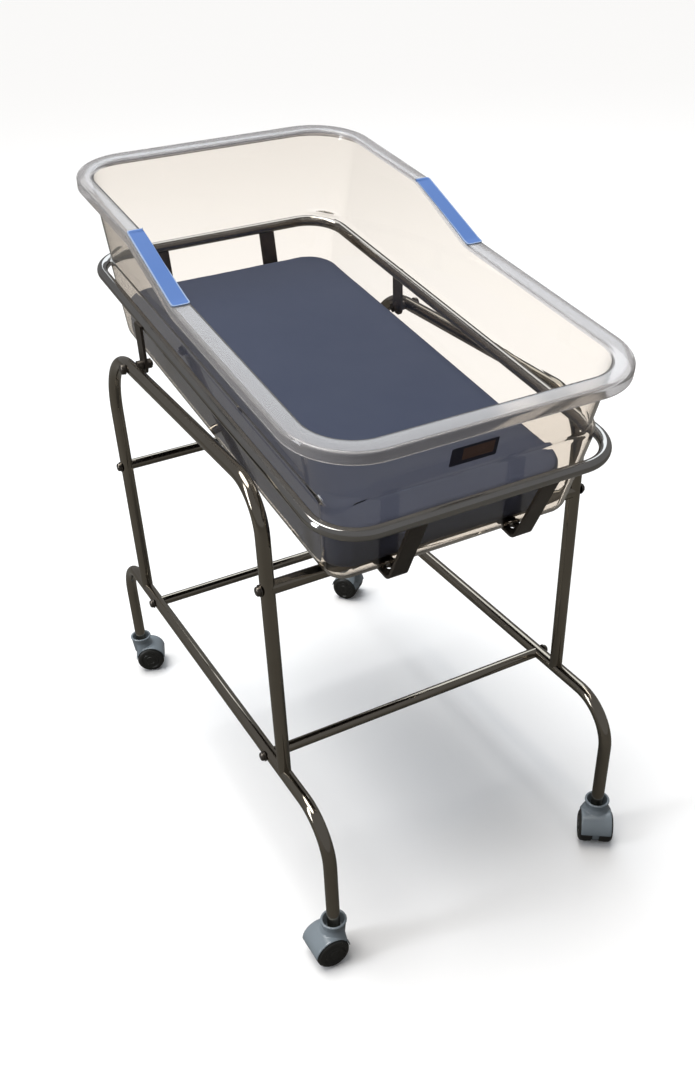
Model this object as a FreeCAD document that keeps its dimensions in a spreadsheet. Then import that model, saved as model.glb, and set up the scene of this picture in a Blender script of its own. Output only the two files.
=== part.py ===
import FreeCAD, Part
import math
import os

import Sketcher

# Hospital bassinet on four twin-wheel casters, in millimetres, +Z up.
# The origin is on the floor, midway between the feet. The infant's feet point to -Y,
# here called the front, and the head to +Y, the rear. Left is -X.
#
# A tilted ring of round tube carries a clear tub. Two lugs hang from the ring and turn on
# pivot bolts through the top rails of the side frames, and two flat straps under the tub
# rest on pads on the upper front cross bar.

doc = FreeCAD.newDocument("bassinet")

# ---------------------------------------------------------------- driving dimensions
SIZES = [
    # side frames and base rails
    ("tube_od", 19.0, "round tube of the side frames and base rails"),
    ("tube_wall", 1.5, "its wall"),
    ("front_leg_reach", 265.0, "front legs ahead of the origin"),
    ("rear_leg_reach", 282.0, "rear legs behind the origin"),
    ("top_rail_height", 684.0, "axis of the top rails above the floor"),
    ("front_bend_radius", 60.0, "bend between front leg and top rail"),
    ("rear_bend_radius", 110.0, "bend between top rail and rear leg"),
    ("base_rail_height", 244.4, "axis of the base rails above the floor"),
    ("foot_reach", 394.0, "feet ahead of and behind the origin"),
    ("foot_bend_radius", 70.0, "bend between base rail and foot"),
    ("foot_end_height", 57.0, "open end of each foot above the floor"),
    # cross bars
    ("crossbar_od", 16.0, "tube of three of the cross bars"),
    ("support_bar_od", 19.0, "tube of the upper front bar, which carries the pads"),
    ("crossbar_wall", 1.5, "wall of all the cross bars"),
    ("lower_front_bar_reach", 219.3, "lower front bar ahead of the origin"),
    ("lower_rear_bar_reach", 227.0, "lower rear bar behind the origin"),
    ("rear_bar_drop", 204.7, "upper rear bar below the top rails"),
    ("cope_gap", 0.1, "between a coped tube end and the tube it meets"),
    # cross bar fasteners
    ("bolt_diameter", 6.0, "cross bar bolts"),
    ("bolt_head_diameter", 13.0, "their round heads"),
    ("bolt_head_height", 5.0, "their height"),
    ("head_rounding", 0.6, "rounding of every bolt head, a share of its height"),
    ("washer_diameter", 16.0, "washers under the heads"),
    ("washer_thickness", 1.6, "thickness of every washer"),
    ("bolt_hole_gap", 0.3, "between a bolt and the hole it passes through"),
    ("plug_length", 22.0, "threaded plug inside each cross bar end"),
    ("plug_setback", 4.0, "plug behind the coped end"),
    ("plug_gap", 0.05, "between a plug and the tube or bolt it fits"),
    ("bolt_engagement", 16.0, "length of bolt inside the plug"),
    # pivots
    ("pivot_reach", 169.0, "pivot bolts behind the origin"),
    ("pivot_bolt_diameter", 8.0, "pivot bolts"),
    ("pivot_head_diameter", 15.0, "their heads"),
    ("pivot_head_height", 5.5, "their height"),
    ("pivot_gap", 0.06, "running gap between pivot bolt and lug"),
    ("spacer_diameter", 14.0, "spacer between rail and lug"),
    ("spacer_length", 8.2, "rail to lug"),
    ("side_play", 0.3, "play of the lug between spacer and washer"),
    ("nut_width", 13.0, "across the flats of the pivot nut"),
    ("nut_height", 6.5, "its height"),
    ("bolt_tail", 2.0, "pivot bolt beyond its nut"),
    # cradle
    ("cradle_tilt", 7.9, "head-up tilt of the ring, degrees"),
    ("cradle_shift", 9.8, "ring centre behind the origin"),
    ("cradle_rise", 37.4, "ring centre above the top rails"),
    ("ring_od", 16.0, "round tube of the ring"),
    ("ring_wall", 1.5, "its wall"),
    ("ring_corner_radius", 60.0, "corners of the ring"),
    ("ring_side_gap", 6.56, "tub wall to ring, at the sides"),
    ("ring_front_gap", 24.06, "tub wall to ring, at the front"),
    ("ring_rear_gap", 24.7, "tub wall to ring, at the rear"),
    ("weld_sink", 0.6, "depth to which welded flats are sunk into the ring"),
    ("lug_width", 24.0, "pivot lugs, along the frame"),
    ("lug_thickness", 4.0, "their thickness"),
    ("lug_corner_radius", 11.0, "their rounded lower corners"),
    ("strap_reach", 92.0, "straps each side of the middle"),
    ("strap_width", 25.0, "width of the straps"),
    ("strap_thickness", 4.0, "their thickness"),
    ("strap_bend_radius", 14.0, "bend of the straps, on the middle of the flat"),
    ("strap_wall_gap", 8.0, "tub wall to strap, at the foot of the wall"),
    ("strap_hole_diameter", 7.0, "hole near the front bend of each strap"),
    ("strap_hole_inset", 19.0, "that hole behind the bend"),
    ("pad_thickness", 7.0, "rest pad between support bar and strap"),
    ("pad_width", 30.0, "rest pad across the bassinet"),
    ("pad_length", 25.0, "rest pad along the bassinet"),
    ("seat_gap", 0.3, "between pieces that rest on each other"),
    # tub, measured square to the ring, heights from the plane of the ring
    ("tub_half_width", 206.0, "outside of the side walls at the front rim"),
    ("tub_front_reach", 386.5, "outside of the front wall at the front rim"),
    ("tub_rear_reach", 365.5, "outside of the rear wall at the rear rim"),
    ("tub_wall", 4.0, "wall of the tub"),
    ("side_taper", 0.125, "lean of the side and front walls, a ratio"),
    ("rear_taper", 0.075, "lean of the rear wall, a ratio"),
    ("front_rim_height", 112.5, "top of the rim at the front"),
    ("rear_rim_height", 149.0, "top of the rim at the rear"),
    ("tub_depth", 110.0, "underside of the floor below the ring"),
    ("slope_front", 20.0, "foot of the rim's slope ahead of the ring centre"),
    ("slope_rear", 122.0, "top of the rim's slope behind the ring centre"),
    ("slope_blend_radius", 60.0, "bends at both ends of the slope"),
    ("rim_overhang", 23.5, "rim beyond the walls"),
    ("rim_corner_radius", 88.0, "corners of the rim"),
    ("rim_lip_depth", 16.0, "turned-down lip of the rim"),
    ("rim_lip_wall", 3.0, "its thickness"),
    ("wall_corner_radius", 58.0, "corners of the walls above the shoulder, taken at the shoulder"),
    ("corner_growth", 0.07, "growth of that radius with height, a ratio"),
    ("foot_corner_radius", 31.0, "corners of the walls below the shoulder, so that they stand out as ledges"),
    ("floor_edge_radius", 22.0, "outside rounding between floor and walls"),
    ("shoulder_height", 20.0, "step in the walls above the ring"),
    ("shoulder_step", 3.0, "its width"),
    # trim of the tub
    ("grip_thickness", 1.6, "grip pads on the slopes of the rim"),
    ("grip_inset", 1.2, "their distance from both edges of the rim"),
    ("grip_overrun", 8.0, "their reach past the foot of the slope"),
    ("grip_corner_radius", 5.0, "their corners"),
    ("label_width", 64.0, "label on the front wall"),
    ("label_height", 26.0, "its height"),
    ("label_thickness", 0.5, "its thickness"),
    ("label_shift", 8.0, "middle of the label to the left of the middle plane"),
    ("label_foot_height", 37.0, "its lower edge above the ring"),
    # mattress
    ("mattress_thickness", 69.0, "thickness of the mattress"),
    ("mattress_side_gap", 0.8, "to the side walls, taken just above the rounding of its lower edge"),
    ("mattress_front_gap", 10.7, "to the front wall, at the same height"),
    ("mattress_rear_gap", 0.8, "to the rear wall, at the same height"),
    ("mattress_corner_radius", 48.0, "corners in plan"),
    ("mattress_under_radius", 24.0, "rounding of its lower edge"),
    ("mattress_over_radius", 9.0, "rounding of its upper edge"),
    # casters
    ("wheel_diameter", 50.0, "wheels"),
    ("caster_width", 52.0, "over both wheels"),
    ("caster_trail", 13.5, "axle from the swivel axis"),
    ("wheel_edge_radius", 4.0, "outer edge of a wheel"),
    ("wheel_inner_edge_radius", 1.0, "its inner edge"),
    ("hood_gap", 0.8, "between wheel and hood"),
    ("hood_wall", 1.5, "wall of the hood and its cup"),
    ("hood_width", 48.0, "width of the hood"),
    ("hood_edge_height", 28.0, "lower edge of the hood above the floor"),
    ("web_thickness", 11.0, "web of the hood between the wheels"),
    ("web_inset", 1.0, "rim of the web inside the tread of the wheels"),
    ("web_edge_height", 12.0, "lower edge of the web above the floor"),
    ("web_gap", 0.4, "between web and wheel"),
    ("axle_diameter", 6.0, "caster axles"),
    ("axle_gap", 0.05, "running gap between axle and wheel"),
    ("axle_setback", 5.0, "end of the axle inside the face of the wheel"),
    ("stem_diameter", 8.0, "caster stems"),
    ("swivel_gap", 0.05, "running gap between stem and hood"),
    ("stem_foot_height", 18.0, "lower end of the stems above the floor"),
    ("stem_plug_length", 28.0, "plug of the stem inside the foot"),
    ("stem_collar_diameter", 18.0, "collar between foot and hood"),
    ("cup_floor_height", 52.0, "floor of the cup round each foot"),
    ("cup_top_height", 70.0, "its open top"),
    ("cup_top_diameter", 35.0, "width of the cup at its top"),
    ("cup_root_height", 38.0, "where the cup grows out of the hood"),
    ("cup_root_diameter", 22.0, "its width there"),
    ("front_left_heading", 180.0, "direction from stem to axle, degrees from +X"),
    ("front_right_heading", -125.0, "the same, front right"),
    ("rear_left_heading", -20.0, "the same, rear left"),
    ("rear_right_heading", 130.0, "the same, rear right"),
]

sheet = doc.addObject("Spreadsheet::Sheet", "dims")
for row, (alias, size, note) in enumerate(SIZES, start=1):
    sheet.set(f"A{row}", note)
    sheet.set(f"B{row}", str(size))
    sheet.setAlias(f"B{row}", alias)
doc.recompute()

# Oversize of cutting and trimming blocks beyond what they cut.
REACH = 20.0
# Heights closer than this are the same.
SAME = 1e-5

# ---------------------------------------------------------------- derived expressions
TILT = "dims.cradle_tilt"
TUBE_R = "(dims.tube_od / 2)"
RING_R = "(dims.ring_od / 2)"
CRADLE_Z = "(dims.top_rail_height + dims.cradle_rise)"


def side_reach(height, inset="0"):
    """Half width of the tub's wall at a height, less an inset."""
    return f"(dims.tub_half_width - dims.side_taper * (dims.front_rim_height - ({height})) - ({inset}))"


def front_reach(height, inset="0"):
    """Reach of the tub's front wall at a height, less an inset."""
    return f"(dims.tub_front_reach - dims.side_taper * (dims.front_rim_height - ({height})) - ({inset}))"


def rear_reach(height, inset="0"):
    """Reach of the tub's rear wall at a height, less an inset."""
    return f"(dims.tub_rear_reach - dims.rear_taper * (dims.rear_rim_height - ({height})) - ({inset}))"


def corner_radius(height):
    """Corner radius of the tub's wall at a height above the shoulder."""
    return f"(dims.wall_corner_radius + dims.corner_growth * ({height} - dims.shoulder_height))"


STEP = "dims.shoulder_step"
RING_SIDE = f"({side_reach('0', STEP)} + dims.ring_side_gap + {RING_R})"
RING_FRONT = f"({front_reach('0', STEP)} + dims.ring_front_gap + {RING_R})"
RING_REAR = f"({rear_reach('0', STEP)} + dims.ring_rear_gap + {RING_R})"
LUG_INNER = f"({RING_SIDE} + {RING_R} - dims.weld_sink)"
LUG_OUTER = f"({LUG_INNER} + dims.lug_thickness)"
RAIL_X = f"({LUG_OUTER} + dims.side_play + dims.spacer_length + {TUBE_R})"
RAIL_OUTER = f"({RAIL_X} + {TUBE_R})"

# Underside of the straps, and its height over the middle of the support bar.
STRAP_DEPTH = "(dims.tub_depth + dims.seat_gap + dims.strap_thickness)"
STRAP_OVER_BAR = (
    f"({CRADLE_Z} - (dims.front_leg_reach + dims.cradle_shift) * tan({TILT})"
    f" - {STRAP_DEPTH} / cos({TILT}))"
)
SUPPORT_BAR_Z = f"({STRAP_OVER_BAR} - dims.pad_thickness - dims.support_bar_od / 2)"
REAR_BAR_Z = "(dims.top_rail_height - dims.rear_bar_drop)"


def value(expression):
    """Number that an expression has with the sizes of the sheet."""
    return float(sheet.evalExpression(str(expression)))


# ---------------------------------------------------------------- drawing helpers
def vector(x, y, z=0.0):
    return FreeCAD.Vector(x, y, z)


def body(label):
    item = doc.addObject("PartDesign::Body", label)
    item.Label = label
    return item


def sketch_on(item, role, name, offset=None):
    """Sketch on an origin plane of a body, moved along the plane's normal."""
    sketch = item.newObject("Sketcher::SketchObject", name)
    plane = next(feature for feature in item.Origin.OriginFeatures if feature.Role == role)
    sketch.AttachmentSupport = [(plane, "")]
    sketch.MapMode = "FlatFace"
    if offset is not None:
        sketch.AttachmentOffset = FreeCAD.Placement(vector(0, 0, value(offset)), FreeCAD.Rotation())
        sketch.setExpression("AttachmentOffset.Base.z", offset)
    return sketch


def constrain(sketch, kind, geometry, expression):
    """Add a dimension to a sketch and bind it to an expression."""
    index = sketch.addConstraint(Sketcher.Constraint(kind, *geometry, value(expression)))
    sketch.setExpression(f"Constraints[{index}]", expression)


def pin(sketch, geometry, place):
    """Hold a point of a sketch at a place given by two expressions."""
    for kind, distance in zip(("DistanceX", "DistanceY"), place):
        if distance == "0":
            axis = -2 if kind == "DistanceX" else -1
            sketch.addConstraint(Sketcher.Constraint("PointOnObject", *geometry, axis))
        else:
            constrain(sketch, kind, (-1, 1, *geometry), distance)


def circle(sketch, place, radius):
    centre = vector(value(place[0]), value(place[1]))
    index = sketch.addGeometry(Part.Circle(centre, vector(0, 0, 1), value(radius)))
    constrain(sketch, "Radius", (index,), radius)
    pin(sketch, (index, 3), place)


def outline(sketch, corners, radii, closed=True):
    """Line from corner to corner, with an arc at each corner that has a radius."""
    points = [vector(value(u), value(v)) for u, v in corners]
    count = len(points)
    start, end, arcs = {}, {}, {}
    for i, point in enumerate(points):
        start[i] = end[i] = point
        inner = closed or 0 < i < count - 1
        if inner and radii[i] is not None:
            before = (point - points[i - 1]).normalize()
            after = (points[(i + 1) % count] - point).normalize()
            turn = math.atan2(before.x * after.y - before.y * after.x, before.dot(after))
            radius = value(radii[i])
            tangent = radius * math.tan(abs(turn) / 2)
            end[i] = point - before * tangent
            start[i] = point + after * tangent
            side = math.copysign(1, turn)
            normal = vector(-before.y, before.x) * side
            arcs[i] = (end[i] + normal * radius, radius, side)
    vertices = []
    for i, point in enumerate(points):
        vertices.append(sketch.addGeometry(Part.Point(point), True))
        pin(sketch, (vertices[i], 1), corners[i])
    lines = []
    for i in range(count if closed else count - 1):
        j = (i + 1) % count
        lines.append(sketch.addGeometry(Part.LineSegment(start[i], end[j])))
        for corner, tip in ((i, 1), (j, 2)):
            if corner in arcs:
                sketch.addConstraint(Sketcher.Constraint("PointOnObject", vertices[corner], 1, lines[i]))
            else:
                sketch.addConstraint(Sketcher.Constraint("Coincident", lines[i], tip, vertices[corner], 1))
    for i, (centre, radius, side) in arcs.items():
        first, last = (end[i], start[i]) if side > 0 else (start[i], end[i])
        angles = [math.atan2(tip.y - centre.y, tip.x - centre.x) for tip in (first, last)]
        arc = sketch.addGeometry(Part.ArcOfCircle(Part.Circle(centre, vector(0, 0, 1), radius), *angles))
        entry, leave = (1, 2) if side > 0 else (2, 1)
        sketch.addConstraint(Sketcher.Constraint("Tangent", lines[i - 1], 2, arc, entry))
        sketch.addConstraint(Sketcher.Constraint("Tangent", arc, leave, lines[i], 1))
        constrain(sketch, "Radius", (arc,), radii[i])


def pad(item, sketch, length, symmetric=False, name="pad"):
    feature = item.newObject("PartDesign::Pad", name)
    feature.Profile = sketch
    if symmetric:
        feature.SideType = "Symmetric"
    feature.Length = value(length)
    feature.setExpression("Length", length)
    return feature


def pocket_through(item, sketch, name="pocket"):
    """Cut a sketch through the whole body, both ways."""
    before = item.Shape.Volume if not item.Shape.isNull() else None
    feature = item.newObject("PartDesign::Pocket", name)
    feature.Profile = sketch
    feature.Type = "ThroughAll"
    feature.SideType = "Symmetric"
    doc.recompute()
    if before is not None and not item.Shape.Volume < before:
        raise ValueError(f"{item.Label}: {name} cuts nothing")
    return feature


def pipe(item, profile, path, kind="AdditivePipe"):
    feature = item.newObject(f"PartDesign::{kind}", "pipe")
    feature.Profile = profile
    feature.Spine = (path, [f"Edge{i + 1}" for i in range(len(path.Shape.Edges))])
    return feature


def revolve(item, sketch):
    feature = item.newObject("PartDesign::Revolution", "revolution")
    feature.Profile = sketch
    feature.ReferenceAxis = (sketch, ["H_Axis"])
    feature.Angle = 360.0
    return feature


def place(item, x="0", y="0", z="0", axis=None, angle="0"):
    """Placement of a piece from expressions."""
    turn = FreeCAD.Rotation()
    if axis is not None:
        turn = FreeCAD.Rotation(axis, value(angle))
    item.Placement = FreeCAD.Placement(vector(value(x), value(y), value(z)), turn)
    for letter, distance in zip("xyz", (x, y, z)):
        if distance != "0":
            item.setExpression(f"Placement.Base.{letter}", distance)
    if axis is not None:
        item.setExpression("Placement.Rotation.Angle", angle)
    return item


X_AXIS = vector(1, 0, 0)
Z_AXIS = vector(0, 0, 1)


def place_in_cradle(item, x="0", along="0", up="0", lean="0 deg"):
    """Place a piece by its position in the tilted frame of the ring."""
    y = f"dims.cradle_shift + ({along}) * cos({TILT}) - ({up}) * sin({TILT})"
    z = f"{CRADLE_Z} + ({along}) * sin({TILT}) + ({up}) * cos({TILT})"
    return place(item, x, y, z, X_AXIS, f"{TILT} * 1 deg + {lean}")


def boolean(kind, label, base, tool):
    item = doc.addObject(f"Part::{kind}", label)
    item.Label = label
    item.Base = base
    item.Tool = tool
    return item


def fuse(label, shapes, refine=True):
    item = doc.addObject("Part::MultiFuse", label)
    item.Label = label
    item.Shapes = shapes
    item.Refine = refine
    return item


def cylinder(name, radius, length, x="0", y="0", z="0", axis=None, angle="0"):
    item = doc.addObject("Part::Cylinder", name)
    item.setExpression("Radius", radius)
    item.setExpression("Height", length)
    return place(item, x, y, z, axis, angle)


def copies(label, masters):
    """Group of separate solids: (master, x, y, z, turn about Z) for each."""
    links = []
    for i, (master, x, y, z, turn) in enumerate(masters):
        link = doc.addObject("App::Link", f"{label}_{i + 1}")
        link.LinkedObject = master
        links.append(place(link, x, y, z, Z_AXIS, turn))
    group = doc.addObject("Part::Compound", label)
    group.Label = label
    group.Links = links
    return group


SIDES = (("left", -1), ("right", 1))
NODES = []

# ---------------------------------------------------------------- side frames, base rails
BAR_OD = "dims.crossbar_od"
BASE_Z = "dims.base_rail_height"
CROSSBARS = {
    # name: (y, z, outside diameter, True where it meets the legs)
    "crossbar_lower_front": ("-dims.lower_front_bar_reach", BASE_Z, BAR_OD, False),
    "crossbar_lower_rear": ("dims.lower_rear_bar_reach", BASE_Z, BAR_OD, False),
    "crossbar_upper_front": ("-dims.front_leg_reach", SUPPORT_BAR_Z, "dims.support_bar_od", True),
    "crossbar_upper_rear": ("dims.rear_leg_reach", REAR_BAR_Z, BAR_OD, True),
}
BOLT_HOLE_R = "(dims.bolt_diameter / 2 + dims.bolt_hole_gap)"
PIVOT_HOLE_R = "(dims.pivot_bolt_diameter / 2 + dims.bolt_hole_gap)"


def tube_profile(item, place_at, offset, radius=TUBE_R, wall="dims.tube_wall", role="XY_Plane"):
    profile = sketch_on(item, role, "profile", offset)
    circle(profile, place_at, radius)
    circle(profile, place_at, f"{radius} - {wall}")
    return profile


def side_frame(label, side):
    """Upside-down U of bent tube, coped onto the base rail."""
    item = body(label)
    path = sketch_on(item, "YZ_Plane", "path")
    front, rear = "-dims.front_leg_reach", "dims.rear_leg_reach"
    foot, top = BASE_Z, "dims.top_rail_height"
    corners = [(front, foot), (front, top), (rear, top), (rear, foot)]
    outline(path, corners, [None, "dims.front_bend_radius", "dims.rear_bend_radius", None], closed=False)
    profile = tube_profile(item, ("0", front), foot)
    doc.recompute()
    pipe(item, profile, path)
    doc.recompute()
    cope = sketch_on(item, "XZ_Plane", "cope")
    circle(cope, ("0", foot), f"{TUBE_R} + dims.cope_gap")
    pocket_through(item, cope, "cope_cut")
    holes = sketch_on(item, "YZ_Plane", "holes")
    for y, z, _, on_leg in CROSSBARS.values():
        if on_leg:
            circle(holes, (y, z), BOLT_HOLE_R)
    circle(holes, ("dims.pivot_reach", top), PIVOT_HOLE_R)
    pocket_through(item, holes, "bolt_holes")
    return place(item, x=f"{side} * {RAIL_X}")


def base_rail(label, side):
    """Straight tube that turns down into a foot at both ends."""
    item = body(label)
    path = sketch_on(item, "YZ_Plane", "path")
    reach, foot, top = "dims.foot_reach", "dims.foot_end_height", BASE_Z
    corners = [(f"-{reach}", foot), (f"-{reach}", top), (reach, top), (reach, foot)]
    bend = "dims.foot_bend_radius"
    outline(path, corners, [None, bend, bend, None], closed=False)
    profile = tube_profile(item, ("0", f"-{reach}"), foot)
    doc.recompute()
    pipe(item, profile, path)
    doc.recompute()
    holes = sketch_on(item, "YZ_Plane", "holes")
    for y, z, _, on_leg in CROSSBARS.values():
        if not on_leg:
            circle(holes, (y, z), BOLT_HOLE_R)
    pocket_through(item, holes, "bolt_holes")
    return place(item, x=f"{side} * {RAIL_X}")


for name, side in SIDES:
    NODES.append(side_frame(f"side_frame_{name}", side))
    NODES.append(base_rail(f"base_rail_{name}", side))

# ---------------------------------------------------------------- cross bars, their bolts


def crossbar(label, y, z, diameter, on_leg):
    """Straight tube between the side frames, both ends coped to the tube they meet."""
    item = body(label)
    profile = tube_profile(item, ("0", "0"), None, f"({diameter} / 2)", "dims.crossbar_wall", "YZ_Plane")
    pad(item, profile, f"2 * {RAIL_X}", symmetric=True)
    doc.recompute()
    cope = sketch_on(item, "XY_Plane" if on_leg else "XZ_Plane", "cope")
    for side in (-1, 1):
        circle(cope, (f"{side} * {RAIL_X}", "0"), f"{TUBE_R} + dims.cope_gap")
    pocket_through(item, cope, "cope_cut")
    return place(item, y=y, z=z)


def bolt(label, diameter, head_diameter, head_height, length):
    """Round-headed bolt along +X. Its washer sits on the plane x = 0."""
    item = body(label)
    profile = sketch_on(item, "XY_Plane", "profile")
    seat = "dims.washer_thickness"
    top = f"{seat} + {head_height}"
    corners = [
        (f"-({length})", "0"), (f"-({length})", f"{diameter} / 2"), (seat, f"{diameter} / 2"),
        (seat, f"{head_diameter} / 2"), (top, f"{head_diameter} / 2"), (top, "0"),
    ]
    outline(profile, corners, [None, None, None, None, f"dims.head_rounding * {head_height}", None])
    revolve(item, profile)
    return item


def ring_piece(label, outer, inner, length):
    """Washer, plug or spacer: a tube along +X from the plane x = 0."""
    item = body(label)
    profile = sketch_on(item, "YZ_Plane", "profile")
    circle(profile, ("0", "0"), outer)
    circle(profile, ("0", "0"), inner)
    pad(item, profile, length)
    return item


BOLT_LENGTH = "dims.tube_od + dims.cope_gap + dims.plug_setback + dims.bolt_engagement"
bolt_master = bolt(
    "bolt_master", "dims.bolt_diameter", "dims.bolt_head_diameter", "dims.bolt_head_height", BOLT_LENGTH
)
washer_master = ring_piece(
    "washer_master", "dims.washer_diameter / 2", BOLT_HOLE_R, "dims.washer_thickness"
)
plug_masters = {}
for diameter in (BAR_OD, "dims.support_bar_od"):
    plug_masters[diameter] = ring_piece(
        "plug_master",
        f"{diameter} / 2 - dims.crossbar_wall - dims.plug_gap",
        "dims.bolt_diameter / 2 + dims.plug_gap",
        "dims.plug_length",
    )

PLUG_OUTER = f"({RAIL_X} - {TUBE_R} - dims.cope_gap - dims.plug_setback)"
bolts, washers, plugs = [], [], []
for label, (y, z, diameter, on_leg) in CROSSBARS.items():
    NODES.append(crossbar(label, y, z, diameter, on_leg))
    for side, turn in ((-1, "180"), (1, "0")):
        outer = f"{side} * {RAIL_OUTER}"
        bolts.append((bolt_master, outer, y, z, turn))
        washers.append((washer_master, outer, y, z, turn))
        start = f"{side} * ({PLUG_OUTER} - dims.plug_length)"
        plugs.append((plug_masters[diameter], start, y, z, turn))
NODES.append(copies("crossbar_bolts", bolts))
NODES.append(copies("crossbar_washers", washers))
NODES.append(copies("crossbar_plugs", plugs))

# ---------------------------------------------------------------- pivots
NUT_SIDES = 6
NUT_INNER = f"({LUG_INNER} - dims.side_play - dims.washer_thickness - dims.nut_height)"
pivot_bolt = bolt(
    "pivot_bolt_master",
    "dims.pivot_bolt_diameter",
    "dims.pivot_head_diameter",
    "dims.pivot_head_height",
    f"{RAIL_OUTER} - {NUT_INNER} + dims.bolt_tail",
)
pivot_washer = ring_piece(
    "pivot_washer_master", "dims.washer_diameter / 2", PIVOT_HOLE_R, "dims.washer_thickness"
)
pivot_spacer = ring_piece(
    "pivot_spacer_master", "dims.spacer_diameter / 2", PIVOT_HOLE_R, "dims.spacer_length"
)
nut_blank = doc.addObject("Part::Prism", "nut_blank")
nut_blank.Polygon = NUT_SIDES
nut_blank.setExpression("Circumradius", f"dims.nut_width / 2 / cos(180 / {NUT_SIDES})")
nut_blank.setExpression("Height", "dims.nut_height")
nut_bore = cylinder("nut_bore", "dims.pivot_bolt_diameter / 2", "dims.nut_height")
nut_upright = boolean("Cut", "nut_upright", nut_blank, nut_bore)
nut_upright.Placement = FreeCAD.Placement(vector(0, 0, 0), FreeCAD.Rotation(vector(0, 1, 0), 90))
pivot_nut = doc.addObject("Part::Compound", "pivot_nut_master")
pivot_nut.Links = [nut_upright]

pivot_bolts, pivot_washers, pivot_spacers, pivot_nuts = [], [], [], []
for side, turn in ((-1, "180"), (1, "0")):
    at = ("dims.pivot_reach", "dims.top_rail_height", turn)
    pivot_bolts.append((pivot_bolt, f"{side} * {RAIL_OUTER}", *at))
    pivot_washers.append((pivot_washer, f"{side} * {RAIL_OUTER}", *at))
    pivot_washers.append((pivot_washer, f"{side} * ({NUT_INNER} + dims.nut_height)", *at))
    pivot_spacers.append((pivot_spacer, f"{side} * ({LUG_OUTER} + dims.side_play)", *at))
    pivot_nuts.append((pivot_nut, f"{side} * {NUT_INNER}", *at))
NODES.append(copies("pivot_bolts", pivot_bolts))
NODES.append(copies("pivot_washers", pivot_washers))
NODES.append(copies("pivot_spacers", pivot_spacers))
NODES.append(copies("pivot_nuts", pivot_nuts))

# ---------------------------------------------------------------- cradle: ring, lugs, straps


def cradle_ring(label):
    """Closed rounded rectangle of round tube, drawn in its own plane."""
    item = body(label)
    path = sketch_on(item, "XY_Plane", "path")
    front = f"-{RING_FRONT}"
    corners = [
        ("0", front), (RING_SIDE, front), (RING_SIDE, RING_REAR),
        (f"-{RING_SIDE}", RING_REAR), (f"-{RING_SIDE}", front), ("0", front),
    ]
    bend = "dims.ring_corner_radius"
    outline(path, corners, [None, bend, bend, bend, bend, None], closed=False)
    outside = sketch_on(item, "YZ_Plane", "outside")
    circle(outside, (front, "0"), RING_R)
    inside = sketch_on(item, "YZ_Plane", "inside")
    circle(inside, (front, "0"), f"{RING_R} - dims.ring_wall")
    doc.recompute()
    pipe(item, outside, path)
    doc.recompute()
    pipe(item, inside, path, "SubtractivePipe")
    return place_in_cradle(item)


def lug(label, side):
    """Flat plate from the side of the ring down to its pivot bolt."""
    item = body(label)
    plate = sketch_on(item, "YZ_Plane", "plate")
    front = "dims.pivot_reach - dims.lug_width / 2"
    rear = "dims.pivot_reach + dims.lug_width / 2"
    foot = "dims.top_rail_height - dims.lug_width / 2"
    top = f"{CRADLE_Z} + (dims.pivot_reach - dims.cradle_shift) * tan({TILT})"
    round_end = "dims.lug_corner_radius"
    corners = [(front, foot), (rear, foot), (rear, top), (front, top)]
    outline(plate, corners, [round_end, round_end, None, None])
    bore = "dims.pivot_bolt_diameter / 2 + dims.pivot_gap"
    circle(plate, ("dims.pivot_reach", "dims.top_rail_height"), bore)
    pad(item, plate, "dims.lug_thickness")
    inner_face = LUG_INNER if side > 0 else f"-{LUG_OUTER}"
    return place(item, x=inner_face)


def strap(label, side):
    """Flat bar from the front of the ring, under the tub, to the rear of the ring."""
    item = body(label)
    half = "dims.strap_thickness / 2"
    level = f"-({STRAP_DEPTH} - {half})"
    top = f"-({RING_R} - dims.weld_sink)"
    floor = "-dims.tub_depth"
    front_top = RING_FRONT
    front_foot = f"({front_reach(floor, STEP)} + dims.strap_wall_gap + {half})"
    rear_top = RING_REAR
    rear_foot = f"({rear_reach(floor, STEP)} + dims.strap_wall_gap + {half})"

    def bent_end(end_top, end_foot, sign):
        """Outer and inner corner at the foot, then outer and inner top, of one end."""
        lean = f"atan(({end_top} - {end_foot}) / ({top} - ({level})))"
        mitre = f"{half} * tan((90 deg - {lean}) / 2)"
        slant = f"{half} / cos({lean})"
        return (
            (f"{sign} * ({end_foot} + {mitre})", f"{level} - {half}"),
            (f"{sign} * ({end_foot} - {mitre})", f"{level} + {half}"),
            (f"{sign} * ({end_top} + {slant})", top),
            (f"{sign} * ({end_top} - {slant})", top),
        )

    front_outer, front_inner, front_top_outer, front_top_inner = bent_end(front_top, front_foot, -1)
    rear_outer, rear_inner, rear_top_outer, rear_top_inner = bent_end(rear_top, rear_foot, 1)
    corners = [
        front_top_outer, front_outer, rear_outer, rear_top_outer,
        rear_top_inner, rear_inner, front_inner, front_top_inner,
    ]
    outer_bend = f"dims.strap_bend_radius + {half}"
    inner_bend = f"dims.strap_bend_radius - {half}"
    side_view = sketch_on(item, "YZ_Plane", "side_view")
    outline(
        side_view, corners,
        [None, outer_bend, outer_bend, None, None, inner_bend, inner_bend, None],
    )
    pad(item, side_view, "dims.strap_width", symmetric=True)
    doc.recompute()
    hole = sketch_on(item, "XY_Plane", "hole")
    circle(hole, ("0", f"-({front_foot} - dims.strap_hole_inset)"), "dims.strap_hole_diameter / 2")
    pocket_through(item, hole, "hole_cut")
    return place_in_cradle(item, x=f"{side} * dims.strap_reach")


NODES.append(cradle_ring("cradle_ring"))
for name, side in SIDES:
    NODES.append(lug(f"pivot_lug_{name}", side))
    NODES.append(strap(f"cradle_strap_{name}", side))

# ---------------------------------------------------------------- rest pads


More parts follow.
